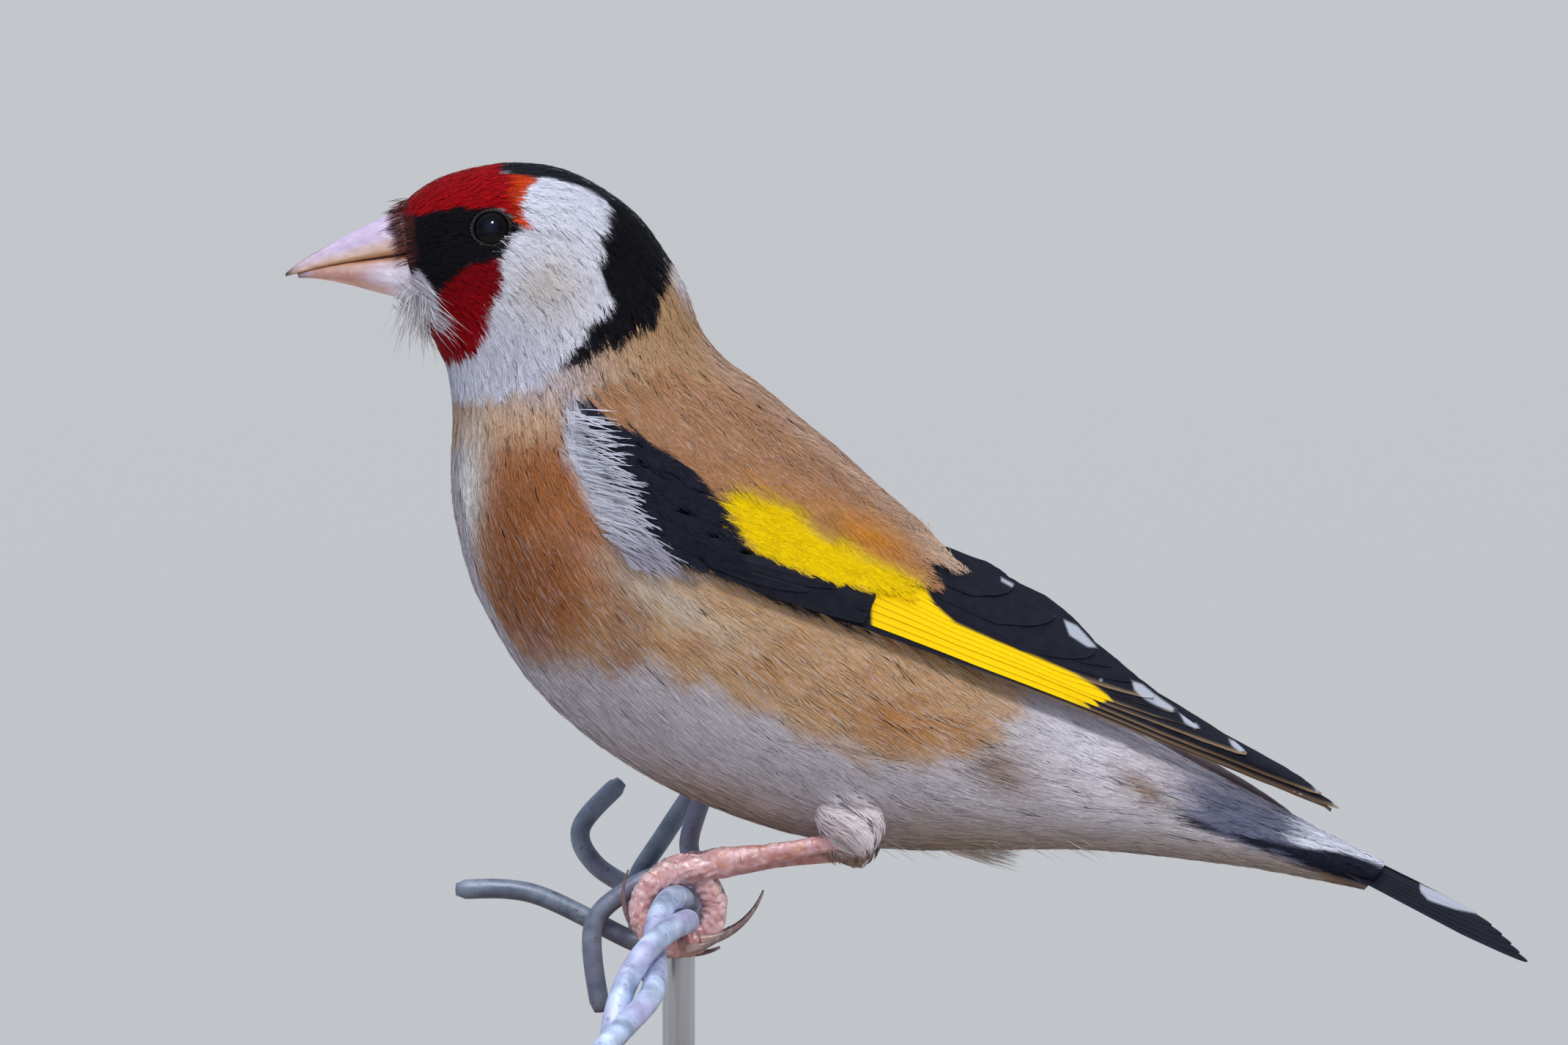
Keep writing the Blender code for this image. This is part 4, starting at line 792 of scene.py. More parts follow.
def ribbons(lines, normals, widths, roll):
    """Flat tapering strips along lines of four points: their points and faces."""
    tangent = unit(np.gradient(lines, axis=1))
    across = unit(np.cross(normals, tangent))
    lifted = np.cross(tangent, across)
    across = across * np.cos(roll)[:, None, None] + lifted * np.sin(roll)[:, None, None]
    half = 0.5 * widths[:, None, None] * BARB_TAPER[None, :, None] * across[:, :3]
    left, right = lines[:, :3] + half, lines[:, :3] - half
    points = np.concatenate([np.stack([left, right], 2).reshape(len(lines), 6, 3), lines[:, 3:]], 1)
    start = 7 * np.arange(len(lines))[:, None]
    quads = np.concatenate([start + np.array([0, 1, 3, 2]), start + np.array([2, 3, 5, 4])])
    tips = start + np.array([4, 5, 6])
    return points.reshape(-1, 3), [quads, tips]


def per_point(values):
    """Four values along each strip, spread over its seven points."""
    return values[:, [0, 0, 1, 1, 2, 2, 3]].reshape(-1, *values.shape[2:])


def fan(count, barbs, length, width, openness=0.55, wave=0.02, clump=0.0):
    """Barb lines of feathers lying along +u: their u and v in millimetres, and their share of the way to the tip."""
    shape = (count, barbs)
    start = np.clip(np.linspace(0.02, 0.84, barbs)[None] + rng.uniform(-0.04, 0.04, shape), 0, 0.9)
    side = np.where(np.arange(barbs) % 2 == 0, 1.0, -1.0)[None] * np.ones(shape)
    reach = start + (1 - start) * rng.uniform(openness, openness + 0.36, shape)
    bulge = np.sin(math.pi * np.clip(reach, 0, 0.995) ** 1.35) ** 0.7 * (1 - 0.25 * start)
    aside = side * (0.5 * bulge + 0.02) * rng.uniform(0.15, 1.08, shape)
    t = BARB_ROWS
    u = start[..., None] + (reach - start)[..., None] * t
    v = aside[..., None] * (1 - (1 - t) ** 1.7)
    wisps = CLUMP_STEP / width[:, None]
    phase = rng.uniform(0, 1, (count, 1))
    gathered = (np.round(aside / wisps + phase) - phase) * wisps
    v = v + (gathered - aside)[..., None] * (clump * t**1.5)
    v = v + wave * rng.normal(size=shape)[..., None] * np.sin(t * 3.0 + rng.uniform(0, 6.28, shape)[..., None])
    return u * length[:, None, None], v * width[:, None, None], u


def shaded(colour, jitter, base=0.8, tip=0.0, pale=WHITE):
    """Barb colours along each strip: darker at the root, with a paler end where wanted."""
    rows = np.array([base, 0.95, 1.0, 1.0])
    colour = colour[:, None, :] * (jitter[:, None] * rows)[..., None]
    share = np.broadcast_to(np.asarray(tip, float), len(colour))[:, None] * np.array([0.0, 0.0, 0.6, 1.0])
    return colour + (np.array(pale) - colour) * share[..., None]


def coat_uv(count, barbs, root_uv):
    """A patch for each tuft at its root's place on the unwrap, with its barbs side by side in it."""
    across = np.tile(np.arange(barbs) / barbs, count)[:, None] + np.zeros(4)
    along = np.tile(BARB_ROWS, (count * barbs, 1))
    root = np.repeat(root_uv, barbs, 0)[:, None]
    return per_point(root + 0.003 * (np.stack([along, across], -1) - 0.5))


def darts(points, spacing):
    """Indices of points kept in turn, each no closer to the ones kept before than its spacing."""
    cell = float(spacing.max())
    keys = np.floor(points / cell).astype(int).tolist()
    places, gaps = points.tolist(), spacing.tolist()
    held, kept = {}, []
    near = [(i, j, k) for i in (-1, 0, 1) for j in (-1, 0, 1) for k in (-1, 0, 1)]
    for n, (a, b, c) in enumerate(keys):
        x, y, z = places[n]
        limit = gaps[n] ** 2
        if all((x - q[0]) ** 2 + (y - q[1]) ** 2 + (z - q[2]) ** 2 > limit
               for i, j, k in near for q in held.get((a + i, b + j, c + k), ())):
            held.setdefault((a, b, c), []).append(places[n])
            kept.append(n)
    return np.array(kept)


# The coat of head and body. For each part of it: the stations it covers, then the spacing of its
# feathers, their length and width at its start and end, barbs in each, barb width, depth of their roots,
# and how far the barbs gather into wisps.
COAT = {
    "coat_face": ((0.0, 3.2), (0.36, 0.44), (1.3, 1.9), (0.70, 1.00), 23, 0.042, 0.15, 0.0),
    "coat_head": ((3.2, 7.0), (0.46, 0.66), (2.1, 3.0), (1.00, 1.45), 26, 0.046, 0.17, 0.0),
    "coat_neck": ((7.0, 10.8), (0.70, 0.92), (3.2, 4.4), (1.5, 2.1), 34, 0.052, 0.20, 0.1),
    "coat_breast": ((10.8, 13.4), (0.95, 1.08), (4.6, 5.4), (2.1, 2.4), 48, 0.057, 0.23, 0.25),
    "coat_mantle": ((13.4, 16.0), (1.06, 1.14), (5.4, 6.2), (2.4, 2.6), 52, 0.060, 0.24, 0.25),
    "coat_flank": ((16.0, 18.4), (1.14, 1.20), (6.2, 6.8), (2.6, 2.7), 54, 0.063, 0.27, 0.4),
    "coat_belly": ((18.4, 20.8), (1.14, 1.12), (6.8, 6.6), (2.6, 2.5), 54, 0.063, 0.26, 0.3),
    "coat_rump": ((20.8, 26.0), (1.08, 0.84), (6.4, 4.8), (2.5, 1.9), 50, 0.060, 0.24, 0.25),
}
COAT_SLOTS = {"coat_face": "plumage_head", "coat_head": "plumage_head", "coat_neck": "plumage_neck"}


def under_wing(p):
    """True where the folded wing hides the body's side."""
    side = np.where(p[..., 1] < 0, LEFT, RIGHT)
    hidden = np.zeros(p.shape[:-1], bool)
    for way in (LEFT, RIGHT):
        x, z = p[..., 0], p[..., 2]
        if way == RIGHT:
            x, z = x - RIGHT_SHIFT, z + (x - SHOULDER[0]) * math.sin(RIGHT_DROOP)
        y, t = wing_share(x, z)
        inside = (x > -8.0) & (x < 40.0) & (t > 0.34) & (t < 0.90) & (y > side_of_body(x, z) + 0.1)
        hidden |= inside & (side == way) & (np.abs(p[..., 1]) > 4.0)
    return hidden


def coat_roots(stations, spacing):
    """Roots of feathers spread evenly over part of the body: their stations and angles."""
    tries = 26000
    place = rng.uniform(*stations, tries)
    angle = rng.uniform(-math.pi, math.pi, tries)
    along, around, _ = body_frame(place, angle)
    area = np.linalg.norm(np.cross(along, around), axis=-1)
    kept = rng.uniform(0, np.quantile(area, 0.98), tries) < area
    place, angle = place[kept], angle[kept]
    points = body_point(place, angle)
    share = (place - stations[0]) / (stations[1] - stations[0])
    seen = ~under_wing(points)
    place, angle, points, share = place[seen], angle[seen], points[seen], share[seen]
    return tuple(row[darts(points, between(*spacing, share))] for row in (place, angle, share))


def tip_share(p, plain):
    """How pale the end of each barb is: a few fine pale streaks on the mantle, more of them on the flanks."""
    low = smooth_step(66.0, 52.0, p[:, 2])
    streak = rng.uniform(0, 1, len(p)) < between(0.14, 0.34, low)
    plain = plain * smooth_step(45.0, 39.0, p[:, 0])
    return plain * (p[:, 2] < 78) * np.where(streak, between(0.30, 0.62, low), 0.06) * rng.uniform(0.7, 1.2, len(p))


def make_coat():
    feathers = feather_down_shader()
    for name, (stations, spacing, lengths, widths, barbs, barb_width, root_depth, clump) in COAT.items():
        place, angle, share = coat_roots(stations, spacing)
        count = len(place)
        under = smooth_step(0.3, -0.6, np.cos(angle))
        length = between(*lengths, share) * rng.uniform(0.85, 1.15, count) * (1 + 0.28 * under * (stations[0] > 8))
        width = between(*widths, share) * rng.uniform(0.85, 1.15, count)
        u, v, t = fan(count, barbs, length, width, clump=clump)
        roots = body_point(place, angle)
        turn = wobble(roots, 9.0, 3) * 0.13 + wobble(roots, 2.6, 2) * 0.10 * (stations[0] > 8) + rng.normal(0, 0.05, count)
        c, s = np.cos(turn)[:, None, None], np.sin(turn)[:, None, None]
        u, v = u * c - v * s, u * s + v * c
        along, around, _ = body_frame(place, angle)
        step, girth = np.linalg.norm(along, axis=-1), np.linalg.norm(around, axis=-1)
        a = place[:, None, None] + (u - 0.12 * length[:, None, None]) / np.maximum(step, 0.35)[:, None, None]
        b = angle[:, None, None] + v / np.maximum(girth, 1.2)[:, None, None]
        a = np.clip(a, 0.02, BODY_END)
        droop = 0.30 * (np.abs(v) / width[:, None, None]) ** 1.5 * root_depth
        depth = root_depth * (1 - t) ** 0.8 + droop + 0.03 * rng.uniform(0, 1, (count, barbs, 1))
        depth = depth - 0.05 * t**4 * rng.uniform(0, 1, (count, barbs, 1)) * (1 + 1.5 * under)[:, None, None]
        lines = body_point(a, b, depth).reshape(-1, 4, 3)
        flat_a, flat_b = a.reshape(-1, 4), b.reshape(-1, 4)
        _, _, normals = body_frame(np.clip(flat_a, 0.05, BODY_END - 0.05), flat_b)
        middle = lines[:, 2]
        keep = np.ones(len(lines), bool)
        for eye_side in (LEFT, RIGHT):
            centre, out = eye_frame(eye_side)
            for row in (1, 2, 3):
                gap = lines[:, row] - centre
                axial = gap @ out
                off = np.linalg.norm(gap - axial[:, None] * out, axis=-1)
                keep &= ~((axial > 0) & (off < LID_RADIUS + (0.04 if row < 3 else -0.02)))
        keep &= ~under_wing(middle)
        lines, normals, middle = lines[keep], normals[keep], middle[keep]
        n = len(lines)
        colour = plumage(middle)
        dark = smooth_step(0.09, 0.02, colour.max(-1))
        redness = smooth_step(0.06, 0.2, colour[:, 0] - 3 * colour[:, 1] - 3 * colour[:, 2])
        # About an eighth of the red barbs are painted brighter: painted glints.
        jitter = np.exp(rng.normal(0, 0.06, n)) * (1 + 0.8 * redness * (rng.uniform(0, 1, n) > 0.88))
        feather_tone = np.repeat(np.exp(rng.normal(0, 0.03, count)), barbs)[keep]
        pale = tip_share(middle, 1 - np.maximum(dark, redness))
        tones = shaded(colour, jitter * feather_tone, 0.88, pale, (0.76, 0.72, 0.70))
        size = barb_width * rng.uniform(0.8, 1.25, n)
        points, faces = ribbons(lines, normals, size, rng.normal(0, 0.14, n))
        obj = mesh_object(name, points, faces, per_point(tones))
        root_uv = np.stack([0.03 + 0.94 * place / BODY_END, 0.03 + 0.94 * (angle / (2 * math.pi) + 0.5)], -1)
        uv = coat_uv(count, barbs, root_uv).reshape(-1, 7, 2)[keep].reshape(-1, 2)
        give_uv(obj, uv)
        piece(obj, COAT_SLOTS.get(name, "plumage_body"), feathers)
        print("coat", name, count, "feathers", n, "barbs", 5 * n, "triangles")
    return feathers


# Eyes

def eye_frame(side):
    """The eyeball's centre and the direction it looks in, square to the head's side."""
    x, z = (np.array([c]) for c in EYE_AT)
    y = body_side(x, z)[0]
    lean_x = (body_side(x + 1.5, z) - body_side(x - 1.5, z))[0]
    lean_z = (body_side(x, z + 1.5) - body_side(x, z - 1.5))[0]
    out = unit(np.array([-0.6 * lean_x / 3, side, -0.6 * lean_z / 3]))
    return np.array([x[0], side * y, z[0]]) - out * EYE_DEPTH, out


def around_axis(out):
    """Two directions square to out: one level, one as near upright as may be."""
    level = unit(np.cross(out, (0.0, 0.0, 1.0)))
    return level, np.cross(level, out)


def make_eyes():
    eye_material, lid_material = eye_shader(), lid_shader()
    for side, word in ((LEFT, "left"), (RIGHT, "right")):
        centre, out = eye_frame(side)
        level, upright = around_axis(out)
        turn, tilt = np.linspace(0, 2 * math.pi, 64, endpoint=False), np.linspace(0.02, math.pi - 0.02, 40)
        t, a = np.meshgrid(tilt, turn, indexing="ij")
        off = np.sin(t) * EYE_RADIUS
        cornea = 0.10 * np.exp(-((off / 1.2) ** 2)) * (t < math.pi / 2)
        p = (centre + off[..., None] * (np.cos(a)[..., None] * level + np.sin(a)[..., None] * upright)
             + (np.cos(t) * EYE_RADIUS + cornea)[..., None] * out)
        verts = np.concatenate([p.reshape(-1, 3), [centre + out * (EYE_RADIUS + 0.1), centre - out * EYE_RADIUS]])
        ring = np.arange(64)
        low = 39 * 64
        caps = np.concatenate([
            np.stack([np.full(64, 40 * 64), (ring + 1) % 64, ring], 1),
            np.stack([np.full(64, 40 * 64 + 1), low + ring, low + (ring + 1) % 64], 1),
        ])
        edge = np.concatenate([off.ravel(), [0.0, 0.0]])
        obj = mesh_object(f"eye_ball_{word}", verts, [grid_faces(40, 64, True), caps], values={"edge": edge})
        piece(obj, "eye_dark", eye_material, f"eye_{word}")

        middle = centre + out * math.sqrt((EYE_RADIUS + 0.12) ** 2 - LID_RING**2)
        around = np.linspace(0, 2 * math.pi, 224, endpoint=False)
        across = np.linspace(0, 2 * math.pi, 16, endpoint=False)
        g, h = np.meshgrid(around, across, indexing="ij")
        beads = np.exp(-(((h - 0.75) / 0.38) ** 2)) * np.clip(0.2 + np.cos(g * 30 + 2.2 * np.sin(3 * g)), 0, 1)
        beads = beads * (0.55 + 0.45 * np.sin(4 * g + 1.0) * np.cos(7 * g))
        thick = 0.15 + 0.05 * beads + 0.012 * np.sin(5 * g + 1.3) + 0.010 * np.sin(17 * g + 3 * h)
        oval = LID_RING * (1 + 0.04 * np.cos(g) ** 2 - 0.03 * np.sin(g) ** 2)
        spoke = np.cos(g)[..., None] * level + np.sin(g)[..., None] * upright
        p = middle + spoke * (oval + thick * np.cos(h))[..., None] + out * (thick * np.sin(h))[..., None]
        faces = grid_faces(224, 16, True)
        seam = np.stack([223 * 16 + np.arange(16), 223 * 16 + (np.arange(16) + 1) % 16,
                         (np.arange(16) + 1) % 16, np.arange(16)], 1)
        obj = mesh_object(f"lid_{word}", p.reshape(-1, 3), [np.concatenate([faces, seam])],
                          values={"raised": beads.ravel()})
        piece(obj, "eye_dark", lid_material)


# Skin

THIGHS = {LEFT: (10.6, -7.6, 35.0), RIGHT: (10.4, 7.6, 33.9)}
THIGH_RADII = np.array([3.1, 2.9, 3.7])
THIGH_TURN = math.radians(-20)


def thigh_point(side, tilt, turn, depth=0.0):
    """Points of the feathered thigh's egg shape: tilt 0 is its top."""
    way = np.stack([np.sin(tilt) * np.cos(turn), np.sin(tilt) * np.sin(turn), np.cos(tilt)], -1)
    p = way * (THIGH_RADII - np.asarray(depth)[..., None])
    c, s = math.cos(THIGH_TURN), math.sin(THIGH_TURN)
    x, z = p[..., 0] * c + p[..., 2] * s, p[..., 2] * c - p[..., 0] * s
    return np.stack([x, p[..., 1], z], -1) + np.array(THIGHS[side])


def make_skin():
    rows, cols = 150, 96
    place = np.linspace(0.0, BODY_END, rows)[:, None] + np.zeros(cols)
    angle = np.linspace(-math.pi, math.pi, cols)[None] + np.zeros((rows, 1))
    depth = between(0.30, 0.55, smooth_step(3.0, 11.0, place))
    p = body_point(place, angle, np.minimum(depth, 0.30 + 0.2 * (BODY_END - place)))
    uv = np.stack([0.03 + 0.94 * place / BODY_END, 0.03 + 0.94 * (angle / (2 * math.pi) + 0.5)], -1).reshape(-1, 2)
    ends = np.stack([p[0].mean(0), p[-1].mean(0)])
    ring = np.arange(cols - 1)
    last = (rows - 1) * cols
    caps = np.concatenate([
        np.stack([np.full(cols - 1, rows * cols), ring, ring + 1], 1),
        np.stack([np.full(cols - 1, rows * cols + 1), last + ring + 1, last + ring], 1),
    ])
    shells = [(np.concatenate([p.reshape(-1, 3), ends]), [grid_faces(rows, cols)[:, ::-1], caps[:, ::-1]],
               np.concatenate([uv, [(0.01, 0.5), (0.99, 0.5)]]))]
    for side in (LEFT, RIGHT):
        tilt, turn = np.meshgrid(np.linspace(0.01, math.pi - 0.01, 24), np.linspace(0, 2 * math.pi, 36), indexing="ij")
        q = thigh_point(side, tilt, turn, 0.55)
        patch = np.stack([0.5 + 0.02 * side + tilt * 0.004, 0.5 + turn * 0.003], -1)
        shells.append((q.reshape(-1, 3), [grid_faces(24, 36), np.zeros((0, 3), int)], patch.reshape(-1, 2)))
    points, faces, (uv,) = joined(shells)
    # The skin takes the plumage's colours painted a fifth darker: painted shade in the gaps between the feathers.
    colour = plumage(points) * 0.8
    obj = mesh_object("skin", points, faces, colour)
    give_uv(obj, uv)
    piece(obj, "plumage_body", feather_down_shader(), "head", "neck", "torso", "thigh_left", "thigh_right")


# Bill. Sections from base to tip: top line, bottom line, half width.

UPPER_BILL = [
    ((-30.7, 89.8), (-30.05, 85.75), 3.5),
    ((-33.0, 88.75), (-32.6, 85.40), 3.05),
    ((-35.7, 87.35), (-35.4, 85.0), 2.3),
    ((-38.0, 86.05), (-37.9, 84.55), 1.4),
    ((-39.8, 84.9), (-39.8, 84.1), 0.6),
    ((-40.7, 84.15), (-40.65, 83.9), 0.14),
]
LOWER_BILL = [
    ((-29.95, 85.95), (-29.25, 81.7), 3.4),
    ((-32.5, 85.6), (-32.0, 82.35), 2.9),
    ((-35.3, 85.2), (-35.0, 83.15), 2.1),
    ((-37.8, 84.7), (-37.6, 83.65), 1.15),
    ((-39.6, 84.15), (-39.5, 83.75), 0.35),
]
NOSTRIL_AT = (-30.9, 88.1)
BILL_PINK, BILL_TAN, BILL_ORANGE = (0.62, 0.55, 0.76), (0.78, 0.60, 0.50), (0.64, 0.33, 0.22)


def bill_shape(sections, flat_top, rows=60, cols=64):
    """Half a bill: its points on a grid from base to tip, with the mouth side flattened."""
    data = np.array([(*a, *b, width) for a, b, width in sections])
    along = np.linspace(0, len(sections) - 1.0, rows)
    tx, tz, lx, lz, width = smooth_rows(data, along)[:, None].transpose(2, 0, 1)
    width = np.maximum(width, 0.08)
    angle = np.linspace(0, 2 * math.pi, cols, endpoint=False)
    side, rise = np.sin(angle), np.cos(angle)
    mouth = (rise > 0) == flat_top
    height = np.sign(rise) * np.abs(rise) ** np.where(mouth, 0.35, 1.0)
    split = 0.62 if flat_top else 0.38
    share = split + height * np.where(rise > 0, 1 - split, split)
    x, z = lx + (tx - lx) * share, lz + (tz - lz) * share
    y = width * np.sign(side) * np.abs(side) ** 0.85
    return np.stack([x, y, z], -1), share, np.linspace(0, 1, rows)[:, None] + np.zeros(cols)


def make_bill():
    horn = bill_shader()
    for name, sections, flat_top in (("bill_upper", UPPER_BILL, False), ("bill_lower", LOWER_BILL, True)):
        p, share, t = bill_shape(sections, flat_top)
        p = np.concatenate([p[:1] * (1, 0.97, 1) + (1.4, 0, 0), p])
        share = share + np.zeros(t.shape)
        t, share = np.concatenate([t[:1], t]), np.concatenate([share[:1], share])
        rows, cols = t.shape
        if not flat_top:
            nostril = blob(p[..., 0], p[..., 2], *NOSTRIL_AT, 0.55, 0.34, 25)
            p[..., 1] *= 1 - 0.22 * nostril
        base = p[0].mean(0) + np.array([0.1, 0, 0])
        points = np.concatenate([p.reshape(-1, 3), [base, p[-1].mean(0) + np.array([-0.03, 0, 0])]])
        ring = np.arange(cols)
        last = (rows - 1) * cols
        caps = np.concatenate([
            np.stack([np.full(cols, rows * cols), (ring + 1) % cols, ring], 1),
            np.stack([np.full(cols, rows * cols + 1), last + ring, last + (ring + 1) % cols], 1),
        ])
        t, share = t.ravel(), share.ravel()
        colour = np.broadcast_to(np.array(BILL_PINK), (len(t), 3)).copy()
        if flat_top:
            colour = painted(colour, (0.86, 0.82, 0.95), smooth_step(0.44, 0.12, t))
            colour = painted(colour, BILL_ORANGE, smooth_step(0.22, 0.46, t) * smooth_step(0.95, 0.70, t) * 0.85)
            colour = painted(colour, BILL_ORANGE, smooth_step(0.40, 0.10, share) * smooth_step(0.05, 0.25, t) * 0.8)
            colour = painted(colour, (0.78, 0.66, 0.64), blob(t, share, 0.45, 0.72, 0.25, 0.14) * 0.7)
            colour = painted(colour, (0.56, 0.30, 0.16), smooth_step(0.74, 0.90, share) * 0.85)
            colour = painted(colour, (0.24, 0.12, 0.08), smooth_step(0.92, 0.99, share) * 0.85)
            colour = painted(colour, (0.20, 0.12, 0.09), smooth_step(0.78, 1.0, t) * 0.8)
        else:
            colour = painted(colour, (0.68, 0.52, 0.56), smooth_step(0.30, 0.85, t) * 0.7)
            colour = painted(colour, BILL_TAN, smooth_step(0.56, 0.30, share) * 0.85)
            colour = painted(colour, (0.62, 0.36, 0.16), smooth_step(0.26, 0.12, share) * 0.85)
            colour = painted(colour, (0.10, 0.065, 0.055), smooth_step(0.70, 0.96, t))
            colour = painted(colour, (0.20, 0.16, 0.18), smooth_step(0.88, 1.0, share) * smooth_step(0.35, 0.70, t))
            # Darker over the nostril: painted shade in its pit.
            colour = painted(colour, (0.10, 0.05, 0.05), 0.7 * nostril.ravel())
            # Darker at the base, under the bristles and face feathers: painted shade.
            colour = painted(colour, (0.12, 0.06, 0.06), 0.8 * smooth_step(0.08, 0.02, t))
        colour = np.concatenate([colour, colour[:1], colour[-1:]])
        obj = mesh_object(name + "_horn", points, [grid_faces(rows, cols, True), caps], colour)
        piece(obj, "bill_horn", horn, name)


# Wings

# Flight feathers, outermost primary first: root, tip, arch, width below and above the shaft, and where its
# yellow ends.
FLIGHT_FEATHERS = [
    ((2.5, 55.5), (54.4, 35.45), 0.9, (0.7, 1.5), 0.0),
    ((3.5, 55.9), (55.1, 35.65), 0.9, (0.9, 1.5), 32.2),
    ((4.7, 56.3), (53.5, 36.9), 0.9, (1.1, 1.6), 32.9),
    ((6.0, 56.7), (46.7, 40.6), 0.9, (1.4, 1.8), 33.6),
    ((7.4, 57.1), (42.5, 42.8), 0.8, (1.6, 1.9), 34.2),
    ((8.8, 57.5), (40.2, 44.3), 0.7, (1.8, 2.0), 34.8),
    ((9.5, 57.7), (38.3, 45.8), 0.7, (1.9, 2.0), 35.1),
    ((10.2, 57.9), (36.4, 47.2), 0.7, (2.0, 2.0), 33.0),
    ((11.6, 58.2), (34.5, 48.5), 0.6, (2.1, 2.0), 31.0),
    ((13.0, 58.5), (32.6, 49.4), 0.5, (2.3, 2.0), 28.0),
    ((14.2, 58.8), (33.0, 50.0), 0.3, (3.2, 2.2), 0.0),
    ((15.0, 59.3), (29.3, 53.0), 0.1, (2.9, 1.5), 0.0),
    ((15.6, 59.7), (25.5, 55.7), 0.0, (2.2, 1.1), 0.0),
]
YELLOW_PANEL = [
    (-0.9, 63.2), (0.5, 63.9), (3.9, 63.6), (6.9, 61.7), (8.7, 60.1), (12.9, 58.1), (16.4, 56.5), (17.1, 56.1),
    (18.3, 54.1), (20.2, 52.4), (24.0, 50.7), (27.8, 49.2), (31.2, 47.7), (33.1, 46.5), (35.1, 45.0), (36.5, 44.2),
    (36.5, 42.5), (32.0, 44.8), (25.9, 46.5), (18.3, 49.2), (12.6, 51.9), (12.6, 54.2), (11.8, 54.9), (8.4, 55.7),
    (5.3, 56.8), (2.3, 57.9), (1.5, 59.1), (0.7, 60.6),
]
WHITE_MARKS = [
    [(24.3, 56.7), (25.8, 55.9), (25.4, 55.5), (24.3, 56.1)],
    [(29.9, 52.9), (31.4, 52.2), (33.4, 50.0), (32.2, 50.1), (30.5, 51.2)],
    [(33.1, 47.3), (33.5, 47.5), (33.8, 47.2), (33.4, 46.9)],
    [(36.1, 47.3), (37.3, 46.9), (38.4, 46.0), (40.4, 44.6), (39.9, 44.2), (38.4, 44.8), (37.3, 45.4), (36.4, 46.2)],
    [(40.4, 44.3), (41.4, 44.1), (42.6, 42.9), (42.0, 42.6), (41.0, 43.2)],
    [(44.9, 42.0), (45.9, 41.7), (46.8, 40.8), (46.1, 40.5), (45.2, 41.2)],
    [(52.4, 37.8), (53.1, 37.6), (53.6, 37.0), (53.1, 36.8)],
    [(54.0, 36.6), (54.9, 36.2), (55.4, 35.4), (54.6, 35.7)],
]
VANE_TILT = 0.32
VANE_WIDE = np.array([-1.0, -0.95, -0.85, -0.72, -0.58, -0.44, -0.3, -0.18, -0.09, -0.04, 0.0,
                      0.04, 0.09, 0.18, 0.3, 0.44, 0.58, 0.72, 0.85, 0.95, 1.0])


def plate(outer, inner):
    """Faces of a closed plate between two grids of points."""
    rows, cols = outer.shape[:2]
    half = rows * cols
    top = grid_faces(rows, cols)
    rim = np.concatenate([
        np.arange(cols), np.arange(1, rows) * cols + cols - 1,
        (rows - 1) * cols + np.arange(cols - 2, -1, -1), np.arange(rows - 2, 0, -1) * cols,
    ])
    nxt = np.roll(rim, -1)
    edge = np.stack([rim, rim + half, nxt + half, nxt], 1)
    return np.concatenate([outer.reshape(-1, 3), inner.reshape(-1, 3)]), [np.concatenate([top, top[:, ::-1] + half, edge])]


